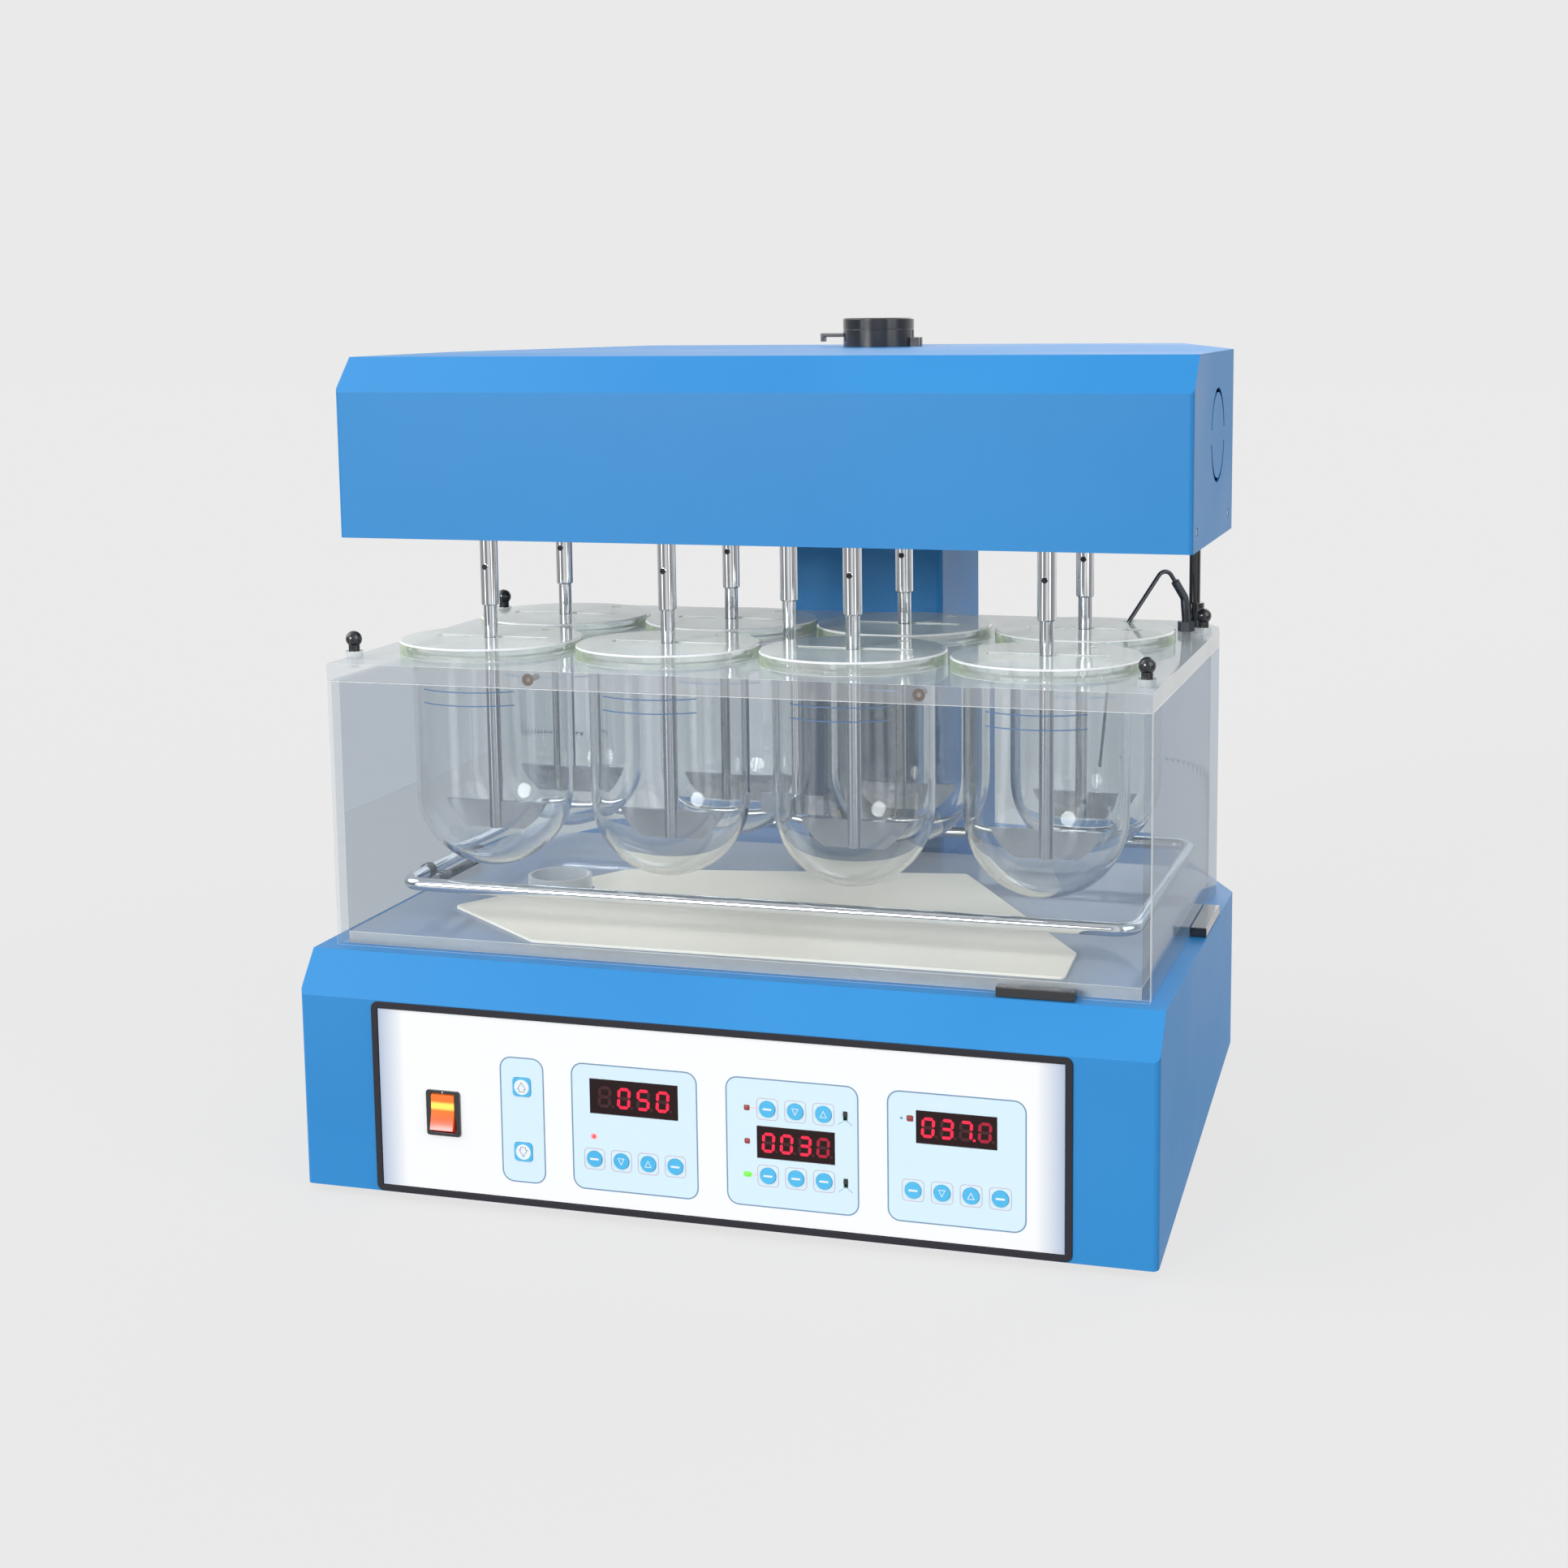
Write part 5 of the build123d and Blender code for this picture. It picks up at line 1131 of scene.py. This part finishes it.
@dataclass(frozen=True)
class DigitSize:
    """Sizes of a display's digits: their width, height and pitch over the bars' middles."""

    width: float
    height: float
    bar: float
    pitch: float

    def corners(self, start: Vector, end: Vector) -> list[Pair]:
        """Give the corners of one pointed bar between two points.

        Args:
            start: One end along X and Z.
            end: The other end.

        Returns:
            The six corners, in order.
        """
        tip = (end - start).normalized() * self.bar / 2
        across = Vector((-tip.y, tip.x))
        first, last = start + tip, end - tip
        corners = (start, first - across, last - across, end, last + across, first + across)
        return [(corner.x, corner.y) for corner in corners]


@dataclass
class Fascia:
    """Control panel: film, printed outlines, displays, lamps, keys and switches."""

    line: float = 0.85
    key_square: float = 14.4
    key_square_corner: float = 3.0
    key_square_line: float = 0.42
    speed_digits: DigitSize = DigitSize(7.0, 12.2, 2.1, 13.3)
    side_digits: DigitSize = DigitSize(6.7, 11.2, 2.0, 12.1)
    slant: float = 0.06
    bar_gap: float = 0.22
    thin: float = 0.05
    key_ink: float = 0.04
    disc_ink: float = 0.03
    lamp_profile: tuple[Pair, ...] = ((1.35, 0.6), (1.35, 0.0), (1.1, -0.35), (0.6, -0.55), (0.0, -0.6))
    triangle: tuple[Pair, ...] = ((-2.4, -2.2), (2.4, -2.2), (0.0, 2.6))
    arrow: tuple[Pair, ...] = (
        (-2.0, -3.4), (2.0, -3.4), (2.0, -1.6), (3.2, -1.6), (0.0, 3.6), (-3.2, -1.6), (-2.0, -1.6)
    )
    slide_line: tuple[Pair, ...] = ((1.4, -2.2), (1.4, -2.7), (4.6, -5.0), (4.6, -4.5))

    def build(self) -> None:
        """Dress the panel and everything on it."""
        renew("fascia_panel", "control_panel", 0.2, "base", Slot.FILM, Look.FILM)
        renew("display_windows", "dark_windows", 0.25, "base", Slot.BLACK, Look.WINDOW)
        self.face = low("fascia_panel").y
        self.prints()
        self.digits("speed", " 050", (-50.8, 84.4), self.speed_digits, -1)
        self.digits("timer", "0030", (58.5, 64.0), self.side_digits, 3)
        self.digits("temp", "037.0", (163.0, 83.5), self.side_digits, 3)
        self.lamps()
        self.keys()
        self.rocker()
        self.slides()

    def prints(self) -> None:
        """Outlines round each group and round each key of the three displays."""
        ring = Print(self.face, corner=GROUP_CORNER, line=self.line)
        rings = [
            ring.patch(name, ((left + right) / 2, (bottom + top) / 2), (right - left, top - bottom))
            for name, (left, right, bottom, top) in GROUPS.items()
        ]
        dress(join(rings, "group_outlines"), "base", Look.LINE)
        square = Print(self.face, corner=self.key_square_corner, line=self.key_square_line)
        squares = []
        for node in KEYS:
            if not node.startswith("key_lift"):
                key = middle(node)
                squares.append(square.patch(node, (key.x, key.z), (self.key_square,) * 2))
        dress(join(squares, "key_outlines"), "base", Look.PINK)

    def digits(self, name: str, text: str, centre: Pair, size: DigitSize, faint: int) -> None:
        """Fill one display with digits, lit, faint and unlit bars apart.

        Args:
            name: Name of the display.
            text: What it shows, with blanks for empty places.
            centre: Middle of the display along X and Z.
            size: Sizes of its digits.
            faint: Place of the digit that is lit faintly, or minus one.
        """
        half, ink = Vector((size.width, size.height)) / 2, Print(low("display_windows").y, self.thin)
        dot = Print(ink.face, self.thin, 0.5)
        heap: dict[str, list[Object]] = {"lit": [], "faint": [], "unlit": []}
        marks = text.replace(".", "")
        for index, mark in enumerate(marks):
            x = centre[0] + (index - (len(marks) - 1) / 2) * size.pitch
            shining = "faint" if index == faint else "lit"
            for bar, ends in BARS.items():
                a, b = (half * Vector(end) for end in ends)
                trim = (b - a).normalized() * self.bar_gap
                first, last = (
                    Vector((x + p.x + p.y * self.slant, centre[1] + p.y)) for p in (a + trim, b - trim)
                )
                made = ink.shape(f"{name}_bar", size.corners(first, last))
                heap[shining if bar in LIT_BARS[mark] else "unlit"].append(made)
            made = dot.patch(f"{name}_dot", (x + half.x + size.bar * 0.95, centre[1] - half.y), (1.7, 1.7))
            heap[shining if text.find(".") == index + 1 else "unlit"].append(made)
        looks = {"lit": Look.DIGIT_LIT, "faint": Look.DIGIT_FAINT, "unlit": Look.DIGIT_DARK}
        for state, pieces in heap.items():
            if pieces:
                dress(join(pieces, f"{name}_digits_{state}"), "base", looks[state])

    def lamps(self) -> None:
        """Domed lamps in the panel's small holes, the printed marks round them, and a painted pink glow
        round the lit speed lamp.
        """
        for name, x, z, look in (
            ("speed_lamp", -78.8, 57.2, Look.LAMP_RED),
            ("timer_lamp_top", 26.2, 86.0, Look.LAMP_DIM),
            ("timer_lamp_middle", 26.2, 64.0, Look.LAMP_DIM),
            ("timer_lamp_low", 26.2, 42.0, Look.LAMP_GREEN),
            ("temp_lamp", 133.3, 88.5, Look.LAMP_DIM),
        ):
            lamp = turned(name, self.lamp_profile, (x, self.face, z), 24, Axis.Y)
            dress(smooth(lamp, 50), "base", look)
        for name, size, corner, centre, look in (
            # Pink patch round the lit speed lamp: a painted glow.
            ("speed_lamp_painted_glow", (4.4, 4.0), 1.9, (-78.8, 57.2), Look.HALO),
            ("timer_lamp_top_rim", (3.9, 3.6), 0.8, (26.2, 86.0), Look.LAMP_DIM),
            ("timer_lamp_middle_rim", (3.7, 3.7), 1.0, (26.2, 64.0), Look.LAMP_DIM),
            ("timer_lamp_low_rim", (6.0, 3.6), 1.75, (26.2, 42.0), Look.LAMP_GREEN),
            ("temp_lamp_rim", (4.4, 4.0), 1.0, (133.3, 88.5), Look.LAMP_DIM),
            ("temp_dot", (1.7, 1.7), 0.8, (127.8, 88.3), Look.GREY_INK),
            ("timer_line_top", (4.6, 0.5), 0, (30.8, 86.0), Look.HALO),
            ("timer_line_low", (3.4, 0.5), 0, (31.3, 42.0), Look.HALO),
        ):
            dress(Print(self.face, self.thin, corner).patch(name, centre, size), "base", look)

    def keys(self) -> None:
        """Keys with their marks: an arrow on a disc, a triangle or a bar."""
        for node in KEYS:
            renew(node, f"{node}_cap", 0.25, node, Slot.KEY_BLUE, Look.KEY_BLUE)
            front, x, z, kind = low(node).y, middle(node).x, middle(node).z, node.rsplit("_", 1)[1]
            way = -1.0 if kind in ("down", "2") else 1.0
            if kind in ("up", "down"):
                disc = Print(front, self.disc_ink, 5.19).patch(f"{node}_disc", (x, z), (10.4, 10.4))
                dress(disc, node, Look.WHITE_INK)
                corners = [(x + across, z + up * way) for across, up in self.arrow]
                arrow = Print(front - self.disc_ink, self.key_ink, line=0.4).shape(f"{node}_arrow", corners)
                dress(arrow, node, Look.GREY_INK)
            elif kind in ("2", "3"):
                corners = [(x + across, z + up * way) for across, up in self.triangle]
                triangle = Print(front, self.key_ink, line=0.42).shape(f"{node}_mark", corners)
                dress(triangle, node, Look.WHITE_INK)
            else:
                bar = Print(front, self.key_ink, 0.5).patch(f"{node}_mark", (x, z), (6.0, 1.3))
                dress(bar, node, Look.WHITE_INK)

    def rocker(self) -> None:
        """Lit rocker, and its black surround with a white tick."""
        body = "mains_switch_body"
        renew(body, "switch_surround", 0.3, "base", Slot.BLACK, Look.BLACK)
        renew("mains_rocker", "lit_rocker", 0.3, "mains_rocker", Slot.ROCKER, Look.ROCKER)
        tick = Print(low(body).y, self.thin, 0.2)
        tick_place = (middle(body).x, high(body).z - 1.15)
        dress(tick.patch("switch_tick", tick_place, (0.55, 1.4)), "base", Look.WHITE_INK)

    def slides(self) -> None:
        """Small slide switches, each over a pair of thin printed lines."""
        for node in ("slide_switch_upper", "slide_switch_lower"):
            renew(node, f"{node}_knob", 0.15, node, Slot.BLACK, Look.BLACK)
            x, bottom, ink = middle(node).x, low(node).z, Print(self.face, self.thin)
            lines = [
                ink.shape(f"{node}_line", [(x + side * across, bottom + z) for across, z in self.slide_line])
                for side in (-1.0, 1.0)
            ]
            dress(join(lines, f"{node}_lines"), "base", Look.PALE_LINE)


@dataclass
class Bath:
    """Clear tank with its mat, heater, stops and fittings, and the vessel plate on top."""

    sheet: float = 6.0
    floor_top: float = 171.5
    gland_from: float = 60.0
    screw_x: float = 131.5
    screw_profile: tuple[Pair, ...] = (
        (0.0, 1.5), (1.4, 1.5), (1.6, 0.1), (3.9, 0.1), (4.1, 0.5), (2.2, 2.9), (2.0, 3.6), (2.2, 4.0),
        (2.0, 4.4), (2.2, 4.8), (2.0, 5.2), (2.0, 15.0), (0.0, 16.2),
    )
    rod_start: Point = (-237.5, -139.0, 192.6)
    rod_length: float = 47.0
    rod_radius: float = 2.5
    leg_x: float = -256.7
    leg_radius: float = 4.5
    sleeve_height: float = 5.2

    def build(self) -> None:
        """Dress the water bath."""
        self.tank()
        renew("tank_mat", "floor_mat", 0.4, "base", Slot.MAT, Look.MAT)
        renew("heater_tube", "heater", 0.0, "base", Slot.CHROME, Look.CHROME)
        glands = ((1, lambda c, n: c.y > self.gland_from),)
        renew("tank_fittings", "fittings", 0.3, "base", Slot.ACRYLIC, Look.SLEEVE, Look.BLACK, zones=glands)
        renew("tank_stops", "stops", 0.5, "base", Slot.BLACK, Look.BLACK)
        self.sensor()
        self.plate()
        self.screws()

    def tank(self) -> None:
        """Front sheet, bent wall and floor, each with polished edges and a painted highlight on their
        rounded corners.
        """
        lowest, highest = low("water_bath_tank"), high("water_bath_tank")
        front, back = lowest.y, lowest.y + self.sheet
        top, side = highest.z, highest.x - 1
        renew(
            "water_bath_tank", "clear_tank", 0.6, "base", Slot.ACRYLIC, Look.ACRYLIC, Look.ACRYLIC_EDGE,
            Look.BRIGHT_EDGE, Look.FLOOR_EDGE, Look.FRONT_SHEET, Look.FLOOR_SHEET, zones=(
                (4, lambda c, n: c.y < back + 0.1 and abs(n.y) > 0.9),
                (5, lambda c, n: c.z < self.floor_top and n.z > 0.9),
                (1, lambda c, n: c.z > top - 0.2),
                (1, lambda c, n: c.y < back and abs(n.x) > 0.97 and abs(c.x) > side),
                (2, lambda c, n: 0.2 < abs(n.z) < 0.97),
                (2, lambda c, n: c.y < back + 1 and abs(c.x) > side and 0.2 < abs(n.x) < 0.97),
                (3, lambda c, n: n.y < -0.97 and c.z < self.floor_top and front + 1 < c.y < front + 30),
            ),
        )

    def sensor(self) -> None:
        """Short sensor rod, held beside the heater's left leg by a clip."""
        (x, y, z), length, radius = self.rod_start, self.rod_length, self.rod_radius
        rod = turned("sensor_rod", [
            (0.0, 0.0), (radius - 0.7, 0.0), (radius, 0.7), (radius, length * 0.24),
            (radius - 0.5, length * 0.26), (radius - 0.5, length * 0.3), (radius, length * 0.32),
            (radius, length - 1.6), (radius - 0.9, length - 0.3), (0.0, length),
        ], self.rod_start, 28, Axis.Y)
        inner, outer = self.leg_radius + 0.05, self.leg_radius + 1.1
        wall = [(inner, 0.0), (outer, 0.0), (outer, 6.0), (inner, 6.0), (inner, 0.0)]
        ring = turned("sensor_ring", wall, (self.leg_x, y + 14.0, z), 32, Axis.Y)
        lowest = place((self.leg_x + outer - 0.3, y + 14.5, z - 0.8))
        highest = place((x - radius + 0.4, y + 19.5, z + 0.8))
        clear()
        bpy.ops.mesh.primitive_cube_add(size=1, location=(lowest + highest) / 2, scale=highest - lowest)
        arm = named("sensor_arm")
        round_edges(arm, 0.3)
        rod = smooth(join([rod, ring, arm], "sensor_rod"))
        dress(rod, "base", Look.DARK_STEEL, slot=Slot.STAINLESS)

    def plate(self) -> None:
        """Clear vessel plate with pale cut edges and a painted highlight on its rounded corners, and its
        knobs.
        """
        renew(
            "vessel_plate", "clear_plate", 0.8, "base", Slot.ACRYLIC, Look.PLATE, Look.ACRYLIC_EDGE,
            Look.BRIGHT_EDGE, zones=SHEET_EDGES,
        )
        sleeve_top = high("vessel_plate").z + self.sleeve_height
        sleeves = ((1, lambda c, n: c.z < sleeve_top),)
        renew("plate_knobs", "ball_knobs", 0.0, "base", Slot.BLACK, Look.BLACK, Look.SLEEVE, zones=sleeves)

    def screws(self) -> None:
        """Bronzed screws in the plate's front edge, seen face on."""
        start = (-self.screw_x, low("vessel_plate").y - 0.3, middle("vessel_plate").z)
        left = smooth(turned("plate_screw_left", self.screw_profile, start, 28, Axis.Y))
        for screw in (left, copied(left, "plate_screw_right", (2 * self.screw_x, 0, 0))):
            dress(screw, "base", Look.SCREW, slot=Slot.STAINLESS)


@dataclass
class VesselBank:
    """Eight vessels with graduation marks, and their lids."""

    radius: float = 54.0
    wall: float = 2.5
    rim_radius: float = 57.5
    rim: float = 3.0
    rim_edge: float = 0.6
    arc_steps: int = 14
    columns: tuple[float, ...] = (-195.0, -65.0, 65.0, 195.0)
    rows: Pair = (-65.0, 65.0)
    mark_depths: Pair = (21.8, 31.0)
    mark_height: float = 0.75
    mark_start: float = 236.0
    mark_sweep: float = 74.0
    mark_out: float = 0.02
    mark_ink: float = 0.05

    def profile(self, bottom: float, top: float) -> list[Pair]:
        """Draw the outline of a vessel's wall, from outside over the rim to inside.

        Args:
            bottom: Lowest point of the vessel.
            top: Face that its rim sits on.

        Returns:
            Pairs of radius and height.
        """
        outer, inner, centre = self.radius, self.radius - self.wall, bottom + self.radius
        quarter = [math.pi / 2 * i / self.arc_steps for i in range(self.arc_steps + 1)]
        outside = [(outer * math.sin(a), centre - outer * math.cos(a)) for a in quarter]
        inside = [(inner * math.sin(a), centre - inner * math.cos(a)) for a in reversed(quarter)]
        lip, brim, soft = self.rim_radius, top + self.rim, self.rim_edge
        rim = [
            (outer, top), (lip - soft, top), (lip, top + soft), (lip, brim - soft), (lip - soft, brim),
            (inner + soft, brim), (inner, brim - soft),
        ]
        return outside + rim + inside

    def build(self) -> None:
        """Make the vessels, their marks and their lids."""
        top, mid_y = high("vessel_plate").z, middle("vessel_lids").y
        places = [(x, mid_y + y) for y in self.rows for x in self.columns]
        left, front = places[0]
        profile = self.profile(low("vessels").z, top)
        vessel = smooth(turned("vessel_1", profile, (left, front, 0), 64, Axis.Z))
        vessels = [vessel] + [
            copied(vessel, f"vessel_{number}", (x - left, y - front, 0))
            for number, (x, y) in enumerate(places[1:], 2)
        ]
        for piece in vessels:
            dress(piece, "base", Look.GLASS, slot=Slot.GLASS, stands_for=["vessels"])
        for number, (x, y) in enumerate(places, 1):
            self.marks(number, (x, y, 0), top)
        # The lids' rounded corners take the painted highlight too.
        renew(
            "vessel_lids", "clear_lids", 0.35, "base", Slot.ACRYLIC, Look.LID, Look.LID_EDGE,
            Look.BRIGHT_EDGE, zones=SHEET_EDGES,
        )

    def marks(self, number: int, centre: Point, top: float) -> None:
        """Draw two short blue graduation lines on the front of a vessel.

        Args:
            number: Number of the vessel.
            centre: Point on its axis.
            top: Face that its rim sits on.
        """
        lines, radius = [], self.radius + self.mark_out
        for depth in self.mark_depths:
            profile = [(radius, top - depth), (radius, top - depth + self.mark_height)]
            line = turned("mark", profile, centre, 22, Axis.Z, self.mark_sweep, self.mark_start)
            lines.append(modify(line, "SOLIDIFY", thickness=metres(self.mark_ink), offset=0.0))
        dress(join(lines, f"graduation_{number}"), "base", Look.BLUE_INK)


@dataclass
class Head:
    """Lifting head with its cover, rods, collar and stop rod, and the column behind."""

    edge: float = 1.0
    screw_places: tuple[Pair, ...] = ((-148.5, 447.0), (-4.5, 447.0))
    recess_radius: float = 3.0
    recess_depth: float = 0.7

    def build(self) -> None:
        """Dress the head and the column."""
        radius, depth = self.recess_radius, self.recess_depth
        plugs = self.in_sides("recess", [(0.0, -depth), (radius, -depth), (radius, 2.0), (0.0, 2.0)])
        for screw in self.in_sides("side_screw", [
            (0.0, -0.45), (0.8, -0.45), (0.9, -0.05), (1.6, -0.1), (2.3, -0.4), (2.5, -depth), (0.0, -depth)
        ]):
            dress(smooth(screw), "head", Look.ZINC, slot=Slot.CHROME)
        renew("column_cover", "column_casing", self.edge, "base", Slot.PAINT, Look.PAINT, segments=3)
        renew(
            "head_cover", "head_casing", self.edge, "head", Slot.PAINT, Look.PAINT, segments=3,
            cutters=plugs,
        )
        for node, name, edge, body, slot, look in (
            ("post_collar", "collar", 0.5, "head", Slot.BLACK, Look.BLACK),
            ("collar_lever", "clamp_lever", 0.4, "collar_lever", Slot.BLACK, Look.BLACK),
            ("stop_rod", "dark_stop_rod", 0.4, "head", Slot.BLACK, Look.BLACK),
            ("lift_rods", "guide_rods", 0.0, "head", Slot.CHROME, Look.CHROME),
            ("temperature_probe", "probe", 0.0, "base", Slot.STAINLESS, Look.DARK_STEEL),
        ):
            renew(node, name, edge, body, slot, look)
        for node in ("head_base_plate", "guide_bushes", "lift_screw", "spindle_bearings"):
            coat(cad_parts[node], Look.STEEL)
        coat(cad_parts["drive_motor"], Look.CAST)
        coat(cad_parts["drive_belts"], Look.RUBBER)

    def in_sides(self, name: str, profile: Sequence[Pair]) -> list[Object]:
        """Turn one small piece at each screw's place in the head's sides.

        Args:
            name: First part of the pieces' names.
            profile: Pairs of radius and place along the way out of the side.

        Returns:
            The pieces, those of the left side first.
        """
        side, made = high("head_cover").x, []
        for way, hand in ((-1.0, "left"), (1.0, "right")):
            outward = [(radius, way * along) for radius, along in profile]
            for number, (y, z) in enumerate(self.screw_places, 1):
                made.append(turned(f"{name}_{hand}_{number}", outward, (way * side, y, z), 24, Axis.X))
        return made


@dataclass
class Spindles:
    """Stirrer spindles with their paddles, and the bath stirrer, darker under the vessel plate as painted
    shade.
    """

    edge: float = 0.3
    screw_height: float = 414.0
    screw_radius: float = 2.1

    def set_screw(self, centre: Vector, normal: Vector) -> bool:
        """Tell whether a face belongs to a spindle's set screw."""
        return abs(centre.z - self.screw_height) < self.screw_radius and normal.y < -0.999

    def below_plate(self, centre: Vector, normal: Vector) -> bool:
        """Tell whether a face hangs under the vessel plate."""
        return centre.z < self.plate_bottom

    def build(self) -> None:
        """Dress every spindle."""
        self.plate_bottom = low("vessel_plate").z
        for number in range(1, 9):
            node = f"stirrer_{number}"
            renew(
                node, f"spindle_{number}", self.edge, node, Slot.CHROME, Look.CHROME, Look.BLACK,
                Look.WET_STEEL, zones=((1, self.set_screw), (2, self.below_plate)),
            )
        renew(
            "bath_stirrer", "bath_spindle", self.edge, "bath_stirrer", Slot.CHROME, Look.CHROME,
            Look.WET_STEEL, zones=((1, self.below_plate),),
        )


def main() -> None:
    """Set up the studio and dress the machine, one assembly after another."""
    logging.basicConfig(level=logging.INFO, format="%(message)s")
    Studio().build()
    for look in Look:
        look.material()
    BaseUnit().build()
    Fascia().build()
    Bath().build()
    VesselBank().build()
    Head().build()
    Spindles().build()


if __name__ == "__main__":
    main()
